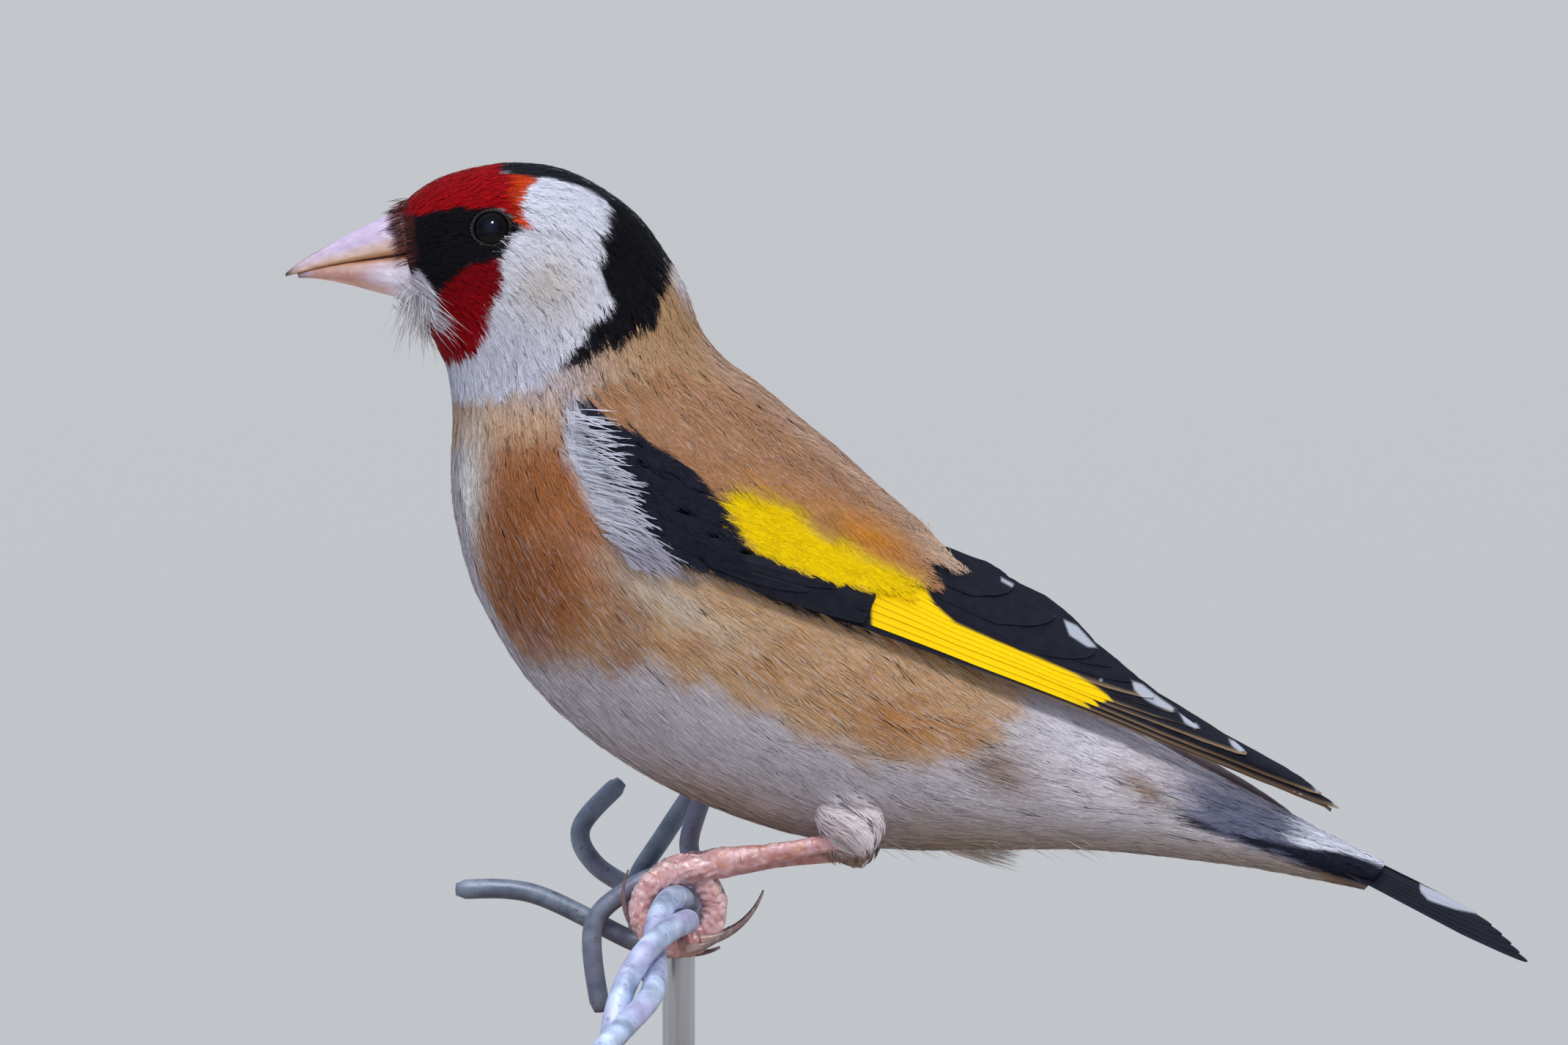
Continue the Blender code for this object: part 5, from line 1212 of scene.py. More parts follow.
def flight_vane(side, index, root, tip, bow, widths, lift, yellow_end=0.0, blunt=0.55, rows=60, thick=0.07,
                tilt=VANE_TILT, wear_and_painted_light=0.0):
    """One long feather of the folded wing: points, faces and the values that its markings come from."""
    root, tip = np.array(root), np.array(tip)
    along = tip - root
    length = float(np.hypot(*along))
    up = np.array([-along[1], along[0]]) / length
    u = 1 - (1 - np.linspace(0, 1, rows)) ** 1.4
    taper = np.minimum(1.0, 0.45 + 1.5 * u) * np.minimum(1.0, ((1 - u) / 0.3)) ** blunt
    taper = np.maximum(taper, 0.03)[:, None]
    wide = np.where(VANE_WIDE < 0, VANE_WIDE * widths[0], VANE_WIDE * widths[1])[None]
    ragged = 0.035 * rng.normal(size=(rows, 2)).cumsum(0) * smooth_step(0.5, 1.0, u)[:, None]
    wide = wide * taper
    wide[:, :3] += ragged[:, :1] * 0.5
    wide[:, -3:] += ragged[:, 1:] * 0.5
    centre = root + along * u[:, None] + up * (bow * 4 * u * (1 - u))[:, None]
    x = centre[:, :1] + up[0] * wide
    z = centre[:, 1:] + up[1] * wide
    share = (wide + widths[0] * taper) / ((widths[0] + widths[1]) * taper)
    shaft = 0.07 * np.exp(-((wide / 0.10) ** 2)) * (1 - 0.6 * u[:, None])
    over = between(lift[0], lift[1], u)[:, None] + tilt * (1 - share) + shaft
    over = over + 0.012 * np.sin(u[:, None] * 23 + wide * 4 + index * 1.7) * smooth_step(0.15, 0.5, u)[:, None]
    outer = wing_point(side, x, z, over)
    inner = wing_point(side, x, z, over - thick * between(1.0, 0.6, u)[:, None])
    if side == LEFT:
        points, faces = plate(outer[:, ::-1], inner[:, ::-1])
    else:
        points, faces = plate(outer, inner)
    turn = slice(None, None, -1) if side == LEFT else slice(None)
    s = u[:, None] * length
    values = {
        "barb": s - np.abs(wide) * 2.1 + 0.06 * np.sin(s * 1.7 + index),
        "white": np.minimum(np.max([edge_distance(mark, x, z) for mark in WHITE_MARKS], 0) - 0.12, 5.5 - (length - s)),
        # rim is the distance from the feather's lower edge, where the yellow gets a painted shadow line.
        "rim": (wide + widths[0] * taper) / 0.3,
        "brown": np.clip(1 - (wide + widths[0] * taper) / 0.26, 0, 1) * smooth_step(0.25, 0.6, u)[:, None] * wear_and_painted_light + 0 * s,
        "under": 0 * s + 0.0,
    }
    if yellow_end:
        inside = edge_distance(YELLOW_PANEL, x, z)
        values["yellow"] = np.minimum(inside, yellow_end + 0.30 * np.sin(wide * 7 + index) - x)
    else:
        values["yellow"] = 0 * s - 1.0
    flat = {}
    for key, value in values.items():
        both = np.broadcast_to(value, x.shape)[:, turn].ravel()
        flat[key] = np.concatenate([both, both + 1 if key == "under" else both])
    u_uv = np.broadcast_to(u[:, None], x.shape)[:, turn].ravel()
    v_uv = np.broadcast_to(share, x.shape)[:, turn].ravel()
    uv = np.stack([0.02 + 0.47 * u_uv, (index + 0.1 + 0.8 * v_uv) / 24], -1)
    uv = np.concatenate([uv, uv + np.array([0.5, 0.0])])
    return points, faces, uv, *(flat[key] for key in ("barb", "white", "rim", "brown", "under", "yellow"))


PRIMARY_COVERTS = ((-1.0, 56.9), (12.1, 52.7), (2.2, 58.7), (12.9, 54.5), 7, (0.8, 1.0))
ALULA = (((-1.5, 57.6), (6.9, 55.3)), ((-0.6, 58.4), (9.4, 55.6)))

BLACK_SHOULDER = [
    (-15.5, 72.6), (-14.5, 72.2), (-13.3, 72.6), (-12.2, 71.5), (-10.3, 70.3), (-7.6, 69.0), (-5.0, 67.3),
    (-2.7, 65.4), (-0.8, 63.3), (0.8, 60.7), (1.5, 59.2), (2.5, 58.2), (4.6, 57.4), (8.4, 56.0), (11.8, 55.0),
    (12.6, 54.2), (12.8, 51.0), (4.8, 53.8), (-1.1, 56.2), (-5.5, 57.4), (-9.5, 61.0), (-13.0, 66.0),
]


def scapular_tint(x, z, p):
    """Colours of the scapulars: tan, glowing orange and then yellow where they meet the yellow coverts."""
    drift = wobble(p, 1.3) * 0.4
    colour = painted(np.broadcast_to(np.array(TAN), p.shape), (0.60, 0.45, 0.34), 0.6 * blob(x, z, 19.5, 58.4, 2.8, 1.7, -30))
    # Paler along the top of the back: a painted highlight where the light from above falls on the ridge.
    edge = smooth_step(3.2, 0.6, back_height(x) - z) * smooth_step(-6.0, 0.0, x)
    colour = painted(colour, (0.58, 0.41, 0.31), 0.55 * edge)
    glow = 0.95 * blob(x, z, 12.9, 59.8, 4.7, 1.7, -31) + 0.40 * blob(x, z, 3.8, 64.2, 4.6, 1.2, -20)
    colour = painted(colour, ORANGE_TINT, np.clip(glow * (1 + 0.4 * drift), 0, 1))
    return painted(colour, YELLOW, smooth_step(-1.0, 0.8, edge_distance(YELLOW_PANEL, x, z) + drift))


def wing_tint(x, z, p):
    """The same colours, with the black of the shoulder."""
    drift = wobble(p, 1.3) * 0.16
    shoulder = smooth_step(-0.2, 0.2, edge_distance(BLACK_SHOULDER, x, z) + drift)
    return painted(scapular_tint(x, z, p), WING_BLACK, shoulder)


def fringe_tint(x, z, p):
    colour = np.broadcast_to(np.array(WHITE), p.shape) * (0.84 + 0.08 * wobble(p, 1.5))[:, None]
    # The fringe's lowest strands are greyer: painted shade beneath the wing's lower edge.
    return painted(colour, (0.40, 0.38, 0.47), 0.85 * smooth_step(61.5, 58.0, z))


def field_roots(outline, spacing, tries=6000):
    """Root places spread evenly over an outline of the wing's pattern."""
    corners = np.array(outline)
    low, high = corners.min(0), corners.max(0)
    p = rng.uniform(low, high, (tries, 2))
    p = p[edge_distance(outline, p[:, 0], p[:, 1]) > 0]
    return p[darts(np.concatenate([p, np.zeros((len(p), 1))], 1), np.full(len(p), spacing))]


def lay_tufts(side, surface, roots, aim, length, width, barbs, lifts, tint_of, barb_width=0.062, pale=0.0,
              openness=0.5, clump=0.0, stray=0.05):
    """Feathers laid on a surface of the wing's pattern, their barbs rising from the first lift to the second."""
    count = len(roots)
    length = length * rng.uniform(0.85, 1.15, count)
    width = width * rng.uniform(0.85, 1.15, count)
    u, v, t = fan(count, barbs, length, width, openness, clump=clump)
    angle = aim(roots[:, 0], roots[:, 1]) + rng.normal(0, stray, count)
    c, s = np.cos(angle)[:, None, None], np.sin(angle)[:, None, None]
    x = roots[:, 0, None, None] + u * c - v * s
    z = roots[:, 1, None, None] + u * s + v * c
    lift = between(lifts[0], lifts[1], t**0.8) - 0.18 * (np.abs(v) / width[:, None, None]) ** 1.5
    lift = lift + 0.03 * rng.uniform(-1, 1, (count, barbs, 1))
    x, z, lift = x.reshape(-1, 4), z.reshape(-1, 4), lift.reshape(-1, 4)
    lines = surface(side, x, z, lift)
    normals = normals_over(surface, side, x, z)
    top = np.maximum(back_height(lines[..., 0]), np.interp(lines[..., 0], WING_ROWS[:, 0], WING_ROWS[:, 1])) + 0.25
    keep = (lines[:, 1:, 2] < top[:, 1:]).all(1)
    x, z, lines, normals = x[keep], z[keep], lines[keep], normals[keep]
    tint = tint_of(x[:, 2], z[:, 2], lines[:, 2])
    n = len(lines)
    tone = np.exp(rng.normal(0, 0.06, n)) * np.repeat(np.exp(rng.normal(0, 0.03, count)), barbs)[keep]
    dark = smooth_step(0.09, 0.02, tint.max(-1))
    gold = smooth_step(0.3, 0.6, tint[:, 0] - tint[:, 2])
    streak = np.where(rng.uniform(0, 1, n) < 0.2, 1.0, 0.12) * rng.uniform(0.7, 1.2, n)
    tones = shaded(tint, tone, 0.88, pale * (1 - dark) * (1 - gold) * streak, (0.76, 0.70, 0.64))
    points, faces = ribbons(lines, normals, barb_width * rng.uniform(0.8, 1.2, n), rng.normal(0, 0.14, n))
    root_uv = np.stack([(roots[:, 0] + 22) / 84, (roots[:, 1] - 30) / 52], -1)
    uv = coat_uv(count, barbs, root_uv).reshape(-1, 7, 2)[keep].reshape(-1, 2)
    return points, faces, per_point(tones), uv


def ramp_aim(low, high, start, end):
    """A lie that turns from one angle to another between two places along the wing, in degrees."""
    return lambda x, z: np.radians(between(low, high, smooth_step(start, end, x)))


SCAPULARS = [
    (-12.0, 74.6), (-8.0, 71.8), (-3.0, 69.2), (1.0, 67.2), (6.0, 64.8), (11.0, 62.3), (15.0, 60.4), (18.5, 59.3),
    (17.0, 62.0), (9.0, 67.0), (1.0, 72.0), (-6.0, 76.0),
]
SCAPULAR_EDGE = [
    (-13.6, 74.4), (-10.6, 72.2), (-6.9, 70.2), (-4.4, 68.3), (-2.2, 66.4), (-0.6, 65.6), (3.0, 65.2), (6.0, 63.6),
    (9.4, 61.9), (13.0, 60.2), (16.0, 59.2), (17.6, 59.4), (15.0, 61.9), (8.0, 65.0), (0.0, 68.8), (-7.0, 73.0),
]
GOLDEN_FIELD = [
    (-1.6, 61.2), (-1.6, 65.0), (2.5, 66.6), (7.5, 64.6), (12.0, 62.0), (15.8, 59.8), (15.4, 58.0), (13.0, 56.9),
    (8.0, 57.4), (3.0, 58.8),
]
SHOULDER_FIELD = [
    (-14.6, 73.2), (-12.4, 73.0), (-9.0, 70.6), (-5.0, 68.2), (-2.6, 65.4), (-1.8, 62.0), (-1.4, 58.6), (-6.0, 58.8),
    (-10.0, 63.0), (-13.5, 69.5),
]
APRON_FIELD = [
    (-15.6, 71.9), (-14.4, 71.9), (-12.6, 68.0), (-10.8, 64.4), (-8.8, 61.2), (-6.8, 59.0), (-9.4, 57.8), (-12.0, 60.4),
    (-13.9, 65.0), (-15.3, 69.3),
]


def make_wing(side, feathers, vane_material):
    word = "left" if side == LEFT else "right"
    vanes = []
    for k, (root, tip, bow, widths, yellow_end) in enumerate(FLIGHT_FEATHERS):
        vanes.append(flight_vane(side, k, root, tip, bow, widths, (-0.3, 0.02), yellow_end, wear_and_painted_light=0.9 * (k < 7)))
    root_a, tip_a, root_b, tip_b, count, widths = PRIMARY_COVERTS
    for k in range(count):
        t = k / (count - 1)
        root, tip = between(np.array(root_a), np.array(root_b), t), between(np.array(tip_a), np.array(tip_b), t)
        vanes.append(flight_vane(side, 14 + k, root, tip, 0.15, widths, (0.24, 0.34), blunt=0.3, rows=30, tilt=0.10))
    for k, (root, tip) in enumerate(ALULA):
        vanes.append(flight_vane(side, 21 + k, root, tip, 0.1, (0.7, 0.9), (0.38, 0.44), blunt=0.4, rows=24, tilt=0.10))
    points, faces, (uv, *values) = joined(vanes)
    names = ("barb", "white", "rim", "brown", "under", "yellow")
    obj = mesh_object(f"flight_feathers_{word}", points, faces, values=dict(zip(names, values)))
    sharpened(obj)
    give_uv(obj, uv)
    piece(obj, "plumage_wing", vane_material, f"wing_{word}")

    tufts = [
        lay_tufts(side, cover_point, field_roots(GOLDEN_FIELD, 0.80), ramp_aim(-27, -33, 0, 12), 4.6, 1.9, 66,
                  (0.26, 0.38), wing_tint, 0.058, openness=0.5, clump=0.1),
        lay_tufts(side, cover_point, field_roots(SHOULDER_FIELD, 0.9), ramp_aim(-46, -26, -13, -1), 3.8, 1.8, 60,
                  (0.38, 0.56), wing_tint, 0.060, clump=0.1),
        lay_tufts(side, cover_point, field_roots(SCAPULAR_EDGE, 0.9), ramp_aim(-50, -36, -10, 6), 4.4, 1.8, 56,
                  (0.34, 0.50), scapular_tint, 0.056, 0.5, clump=0.25),
        lay_tufts(side, cover_point, field_roots(SCAPULARS, 1.05), ramp_aim(-48, -36, -10, 6), 5.2, 2.2, 58,
                  (0.14, 0.46), scapular_tint, 0.058, 0.5, clump=0.2),
    ]
    points, faces, (tones, uv) = joined(tufts)
    obj = mesh_object(f"coverts_{word}", points, faces, tones)
    give_uv(obj, uv)
    piece(obj, "plumage_wing", feathers)
    print("coverts", word, sum(len(f) for f in faces) * 5 // 3, "triangles")

    down = ramp_aim(-10, -36, -14.5, -8)
    fringe = [
        lay_tufts(side, cover_point, field_roots(APRON_FIELD, 0.75), down, 2.4, 1.0, 30, (0.08, 0.50), fringe_tint,
                  0.050, openness=0.6),
        lay_tufts(side, cover_point, field_roots(APRON_FIELD, 0.33), down, 3.9, 0.22, 6, (0.30, 1.00), fringe_tint,
                  0.046, openness=0.62, clump=0.3, stray=0.13),
    ]
    points, faces, (tones, uv) = joined(fringe)
    obj = mesh_object(f"fringe_{word}", points, faces, tones)
    give_uv(obj, uv)
    piece(obj, "plumage_body", feathers)


# Tail

TAIL_ROOT, TAIL_SLOPE, TAIL_TIP_X = (43.5, 38.0), math.radians(-26.1), (67.8, 73.1)
TAIL_FEATHERS, TAIL_HALF_SPREAD, TAIL_ROOT_SPREAD, TAIL_ROOF, TAIL_STEP = 6, 6.4, 1.9, 2.2, 0.085
TAIL_WHITE = [(62.6, 30.2), (68.8, 27.8), (68.3, 25.7), (65.6, 26.3), (63.2, 27.1), (62.4, 28.0)]


def tail_point(along, y, drop):
    c, s = math.cos(TAIL_SLOPE), math.sin(TAIL_SLOPE)
    return np.stack([TAIL_ROOT[0] + c * along + s * drop, y, TAIL_ROOT[1] + s * along - c * drop], -1)


def make_tail(vane_material):
    made = []
    for side in (LEFT, RIGHT):
        for rank in range(TAIL_FEATHERS):
            t = rank / (TAIL_FEATHERS - 1)
            length = (between(*TAIL_TIP_X, t**0.8) - TAIL_ROOT[0]) / math.cos(TAIL_SLOPE)
            u = (1 - (1 - np.linspace(0, 1, 56)) ** 1.3)[:, None]
            middle = between(0.9 + TAIL_ROOT_SPREAD * t, 1.1 + (TAIL_HALF_SPREAD - 2.4) * t, u)
            taper = np.maximum(np.minimum(1.0, 0.75 + u) * np.minimum(1.0, (1 - u) / 0.2) ** 0.5, 0.03)
            wide = np.where(VANE_WIDE > 0, 1.2, 1.55) * VANE_WIDE * taper
            out = middle + wide
            drop = TAIL_ROOF * (np.maximum(0.0, out) / TAIL_HALF_SPREAD) ** 1.3 + TAIL_STEP * rank + 0.05 * wide
            drop = drop - 0.07 * np.exp(-((wide / 0.1) ** 2)) * (1 - 0.6 * u)
            upper = tail_point(length * u + 0 * out, side * out, drop)
            lower = tail_point(length * u + 0 * out, side * out, drop + 0.06)
            turn = slice(None, None, -1) if side == RIGHT else slice(None)
            points, faces = plate(upper[:, turn], lower[:, turn])
            s, x = u * length + 0 * out, upper[..., 0]
            if rank < 3:
                white = edge_distance(TAIL_WHITE, x, upper[..., 2]) - 0.08
            else:
                white = np.minimum(np.minimum(x - 61.5, 68.6 - x), (-0.35 - wide) * 4)
            values = (s - np.abs(wide) * 2.1, white, (1.5 - np.abs(wide)) / 0.3,
                      0 * s, 0 * s, 0 * s - 1)
            flat = [np.concatenate([v[:, turn].ravel(), v[:, turn].ravel() + (k == 4)]) for k, v in enumerate(values)]
            row = rank + (6 if side == RIGHT else 0)
            uv = np.stack([0.02 + 0.47 * u + 0 * out, (row + 0.1 + 0.8 * (VANE_WIDE + 1) / 2 + 0 * out) / 12], -1)
            uv = uv[:, turn].reshape(-1, 2)
            made.append((points, faces, np.concatenate([uv, uv + np.array([0.5, 0])]), *flat))
    points, faces, (uv, *values) = joined(made)
    obj = mesh_object("tail_feathers", points, faces,
                      values=dict(zip(("barb", "white", "rim", "brown", "under", "yellow"), values)))
    sharpened(obj)
    give_uv(obj, uv)
    piece(obj, "plumage_tail", vane_material, "tail")


# Tibia tufts, bristles

def thigh_side(side, x, z):
    """Distance of the thigh's outer side from the midline, 0 beside the thigh."""
    ox, oy, oz = THIGHS[side]
    c, s = math.cos(THIGH_TURN), math.sin(THIGH_TURN)
    u, w = (x - ox) * c - (z - oz) * s, (x - ox) * s + (z - oz) * c
    room = 1 - (u / THIGH_RADII[0]) ** 2 - (w / THIGH_RADII[2]) ** 2
    return np.where(room > 0, abs(oy) + THIGH_RADII[1] * np.sqrt(np.maximum(room, 0)), 0.0)


def drape_point(side, x, z, lift=0.0):
    """Points over the belly's side and the top of the thigh together."""
    body, thigh = side_of_body(x, z), thigh_side(side, x, z)
    gap = np.where(thigh > 0, thigh - body, -3.0)
    y = body + 0.5 * (gap + np.sqrt(gap**2 + 0.5))
    return np.stack([x, side * (y + lift), z], -1)


DRAPE_FIELD = [(2.0, 42.0), (8.0, 41.6), (15.0, 39.6), (16.5, 36.6), (13.0, 37.4), (9.0, 38.2), (5.0, 38.2), (2.5, 39.2)]


def make_thigh_tufts(feathers):
    """Long soft strands that run down the feathered shank, sweeping back, with belly feathers over their top."""
    for side, word in ((LEFT, "left"), (RIGHT, "right")):
        count, barbs = 120, 60
        tilt, turn = np.arccos(rng.uniform(-0.45, 0.98, count)), rng.uniform(0, 2 * math.pi, count)
        length, width = rng.uniform(4.6, 6.4, count), np.full(count, 1.5)
        u, v, t = fan(count, barbs, length, width, 0.55, clump=0.9)
        sweep_back = -side * (0.62 - 0.30 * smooth_step(0.8, 2.2, tilt)) + rng.normal(0, 0.07, count)
        c, s = np.cos(sweep_back)[:, None, None], np.sin(sweep_back)[:, None, None]
        a = tilt[:, None, None] + (u * c - v * s) / 3.4
        b = turn[:, None, None] + (u * s + v * c) / (3.0 * np.maximum(np.sin(tilt), 0.3))[:, None, None]
        a = np.clip(a, 0.05, math.pi - 0.05)
        proud = rng.uniform(-0.60, 0.10, (count, 1, 1))
        depth = between(0.50, 0.0, t**0.8) + proud * t + 0.05 * rng.uniform(0, 1, (count, barbs, 1))
        lines = thigh_point(side, a, b, depth).reshape(-1, 4, 3)
        normals = unit(lines - np.array(THIGHS[side]))
        middle = lines[:, 2]
        # Darker bands across the tuft: painted shade in its folds.
        painted_fold_shade = np.clip(0.5 + 0.9 * wobble(middle * (1.0, 1.0, 0.4), 1.1, 1), 0, 1)
        tint = painted(np.broadcast_to(np.array((0.95, 0.87, 0.92)), middle.shape), (0.68, 0.55, 0.52), 0.55 * painted_fold_shade)
        # The right thigh's lowest strands are painted brown: painted shade beneath the body.
        tint = painted(tint, (0.34, 0.22, 0.13), 0.8 * smooth_step(32.2, 30.8, middle[:, 2]) * (side == RIGHT))
        inside = (side_of_body(middle[:, 0], middle[:, 2]) > np.abs(middle[:, 1]) + 0.5) & (middle[:, 2] > 36)
        lines, normals, tint = lines[~inside], normals[~inside], tint[~inside]
        n = len(lines)
        tone = np.exp(rng.normal(0, 0.07, n)) * np.repeat(np.exp(rng.normal(0, 0.07, count)), barbs)[~inside]
        tones = shaded(tint, tone, 0.84, 0.35 * (rng.uniform(0, 1, n) < 0.3))
        points, faces = ribbons(lines, normals, 0.066 * rng.uniform(0.8, 1.25, n), rng.normal(0, 0.2, n))
        root_uv = np.stack([0.1 + 0.8 * tilt / math.pi, 0.1 + 0.8 * turn / (2 * math.pi)], -1)
        uv = coat_uv(count, barbs, root_uv).reshape(-1, 7, 2)[~inside].reshape(-1, 2)
        drape = lay_tufts(side, drape_point, field_roots(DRAPE_FIELD, 0.9), ramp_aim(-30, -22, 4, 12), 4.6, 1.7, 60,
                          (0.02, 0.36), lambda x, z, p: plumage(p), 0.060, pale=0.35, clump=0.4, stray=0.09)
        points, faces, (tones, uv) = joined([(points, faces, per_point(tones), uv), drape])
        obj = mesh_object(f"thigh_tufts_{word}", points, faces, tones)
        give_uv(obj, uv)
        piece(obj, "plumage_thigh", feathers)


def make_vent_strands(feathers):
    """Loose strands that leave the belly's lower line behind the thighs, and a pointed wisp at the vent."""
    lines, tones = [], []
    for k in range(420):
        wisp = k < 240
        x = rng.uniform(17.0, 22.5) if wisp else rng.uniform(12.0, 33.0)
        reach = rng.uniform(0.4, 1.0) * (27.0 - x) if wisp else rng.uniform(1.5, 4.5)
        fall = math.radians(rng.uniform(12.0, 20.0) if wisp else rng.uniform(6.0, 34.0))
        y = rng.uniform(-2.4, 1.6) if wisp else rng.uniform(-5.0, 5.0)
        z = 32.4 + 0.11 * y * y * 0.4
        t = BARB_ROWS
        pinch = 1 - 0.75 * t if wisp else 1 + 0 * t
        lines.append(np.stack([x + reach * t * math.cos(fall), y * pinch, z - reach * t * math.sin(fall)], -1))
        tones.append(np.array([0.66, 0.60, 0.56]) * rng.uniform(0.7, 1.1))
    lines = np.array(lines)
    down = np.broadcast_to(np.array([0.0, -0.8, -0.6]), lines.shape)
    points, faces = ribbons(lines, down, np.full(len(lines), 0.055), rng.normal(0, 0.4, len(lines)))
    obj = mesh_object("vent_strands", points, faces, per_point(shaded(np.array(tones), np.ones(len(lines)), 0.85)))
    give_uv(obj, coat_uv(len(lines), 1, rng.uniform(0.05, 0.95, (len(lines), 2))))
    piece(obj, "plumage_body", feathers)


def make_bristles(feathers):
    """Dusky bristles over the bill's base, and long loose white ones hanging from the chin."""
    lines, tones, widths = [], [], []
    for side in (LEFT, RIGHT):
        for _ in range(150):
            angle = rng.uniform(0.15, 1.75)
            root = body_point(np.array(rng.uniform(0.0, 0.9)), np.array(side * angle), 0.1)
            low = smooth_step(1.6, 2.4, angle)
            aim = np.array([-1.0, side * between(0.25, 0.15, low), between(-0.10, -0.35, low)])
            aim = aim + rng.normal(0, 0.13, 3)
            reach = rng.uniform(1.0, 2.1) * between(1.0, 0.7, low)
            sag = np.array([0.15, side * -0.10, -0.20]) * reach
            lines.append([root + aim * reach * t + sag * t * t for t in BARB_ROWS])
            red = rng.uniform(0, 1)
            tones.append(between(np.array([0.035, 0.015, 0.015]), np.array([0.16, 0.045, 0.04]), red))
            widths.append(0.07)
        for k in range(95):
            place = rng.uniform(0.0, 1.9)
            angle = side * rng.uniform(2.05, 3.12)
            root = body_point(np.array(place), np.array(angle), 0.15)
            aim = np.array([-0.62 + 0.28 * place, side * 0.22, -0.80]) + rng.normal(0, 0.22, 3)
            reach = rng.uniform(1.6, 5.2 - 0.9 * place)
            curl = np.array([0.45, side * 0.0, -0.35]) * reach * rng.uniform(0.2, 0.7)
            lines.append([root + aim * reach * t + curl * t * t for t in BARB_ROWS])
            tones.append(np.array([0.66, 0.64, 0.66]) * rng.uniform(0.75, 1.1))
            widths.append(0.055)
        for _ in range(60):
            x, z = rng.uniform(-31.0, -28.3), rng.uniform(81.0, 84.2)
            down, reach = rng.uniform(0.45, 0.95), rng.uniform(2.5, 7.0)
            x, z = x + reach * BARB_ROWS * math.cos(down), z - reach * BARB_ROWS * math.sin(down)
            out = side_of_body(np.maximum(x, -29.0), z) + 0.12 + rng.uniform(0.05, 0.45) * np.sin(BARB_ROWS * 2.2)
            lines.append(np.stack([x, side * out, z], -1))
            tones.append(np.array([0.68, 0.66, 0.72]) * rng.uniform(0.75, 1.1))
            widths.append(0.060)
    lines = np.array(lines)
    side_way = np.zeros_like(lines)
    side_way[..., 1] = np.sign(lines[:, :1, 1])
    points, faces = ribbons(lines, side_way, np.array(widths), rng.normal(0, 0.5, len(lines)))
    tones = shaded(np.array(tones), np.ones(len(lines)), 0.8)
    obj = mesh_object("bristles", points, faces, per_point(tones))
    give_uv(obj, coat_uv(len(lines), 1, rng.uniform(0.05, 0.95, (len(lines), 2))))
    piece(obj, "plumage_head", feathers)


# Legs and feet

LEGS = {
    LEFT: ((8.6, -8.0, 32.4), (-0.9, -6.5, 30.6)),
    RIGHT: ((8.6, 8.0, 31.2), (-0.9, 6.5, 30.5)),
}
FOOT_Y, TOE_PATH = 6.3, 3.55
PALM_AT, PALM_RADII, PALM_TURN = (-3.9, 30.0), (3.2, 1.9, 1.35), math.radians(-6)
TOES = [
    ("inner", -2.7, 75.0, 245.0, 318.0, 1.6, 0.78),
    ("middle", 0.9, 75.0, 292.0, 372.0, 4.4, 0.85),
    ("outer", 2.8, 75.0, 268.0, 340.0, 1.4, 0.78),
    ("hind", -0.95, 62.0, -106.0, -218.0, 2.2, 0.88),
]
WIRE_X, WIRE_Z = -5.0, 26.3
WIRE_BACK, WIRE_FRONT, DROOP_START = 25.0, -39.0, -10.0
WIRE_DROP, WIRE_SWING = 15.1, -7.2
STRAND_RADIUS, STRAND_OFFSET, STRAND_PITCH, STRAND_PHASE = 1.1, 1.25, 29.25, math.radians(-0.8)
BARB_RADIUS, BARB_COIL = 0.9, 3.55


def wire_point(y):
    y = np.asarray(y, float)
    t = np.maximum(0.0, (DROOP_START - y) / (DROOP_START - WIRE_FRONT))
    return np.stack([WIRE_X + WIRE_SWING * t**1.4, y, WIRE_Z - WIRE_DROP * t**1.5], -1)


def around_wire(y, angle, radius):
    angle, radius = np.asarray(angle, float), np.asarray(radius, float)[..., None]
    return wire_point(y) + np.stack([np.cos(angle), 0 * angle, np.sin(angle)], -1) * radius


def faced_sweep(points, radii, facing, sides=28):
    """A closed tube whose angle 0 faces the given way at each point, with its own radius at each angle."""
    tangent = unit(np.gradient(points, axis=0))
    normal = unit(facing - tangent * (facing * tangent).sum(-1, keepdims=True))
    across = np.cross(tangent, normal)
    angle = np.linspace(0, 2 * math.pi, sides, endpoint=False)
    ring = np.cos(angle)[None, :, None] * normal[:, None] + np.sin(angle)[None, :, None] * across[:, None]
    made = points[:, None] + ring * radii[..., None]
    ends = np.stack([points[0] - tangent[0] * radii[0].mean() * 0.5, points[-1] + tangent[-1] * radii[-1].mean() * 0.5])
    ids = np.arange(sides)
    last = (len(points) - 1) * sides
    caps = np.concatenate([
        np.stack([np.full(sides, len(points) * sides), (ids + 1) % sides, ids], 1),
        np.stack([np.full(sides, len(points) * sides + 1), last + ids, last + (ids + 1) % sides], 1),
    ])
    return np.concatenate([made.reshape(-1, 3), ends]), [grid_faces(len(points), sides, True), caps]


def scutes(along, angle, length, reach):
    """Height of overlapping plates along a tube's facing side, and how much of a plate is there."""
    phase = (along / length) % 1.0
    plate_height = smooth_step(0.0, 0.18, phase) * (1 - 0.45 * phase) * smooth_step(1.0, 0.93, phase)
    window = smooth_step(reach, reach - 0.35, np.abs((angle + math.pi) % (2 * math.pi) - math.pi))
    return plate_height * window


def knobbly(points, middle, height, size):
    """Points pushed out and in by uneven small lumps."""
    lumps = wobble(points, size) + 0.7 * wobble(points, size * 0.45, 1)
    return points + unit(points - middle) * (height * lumps)[:, None]


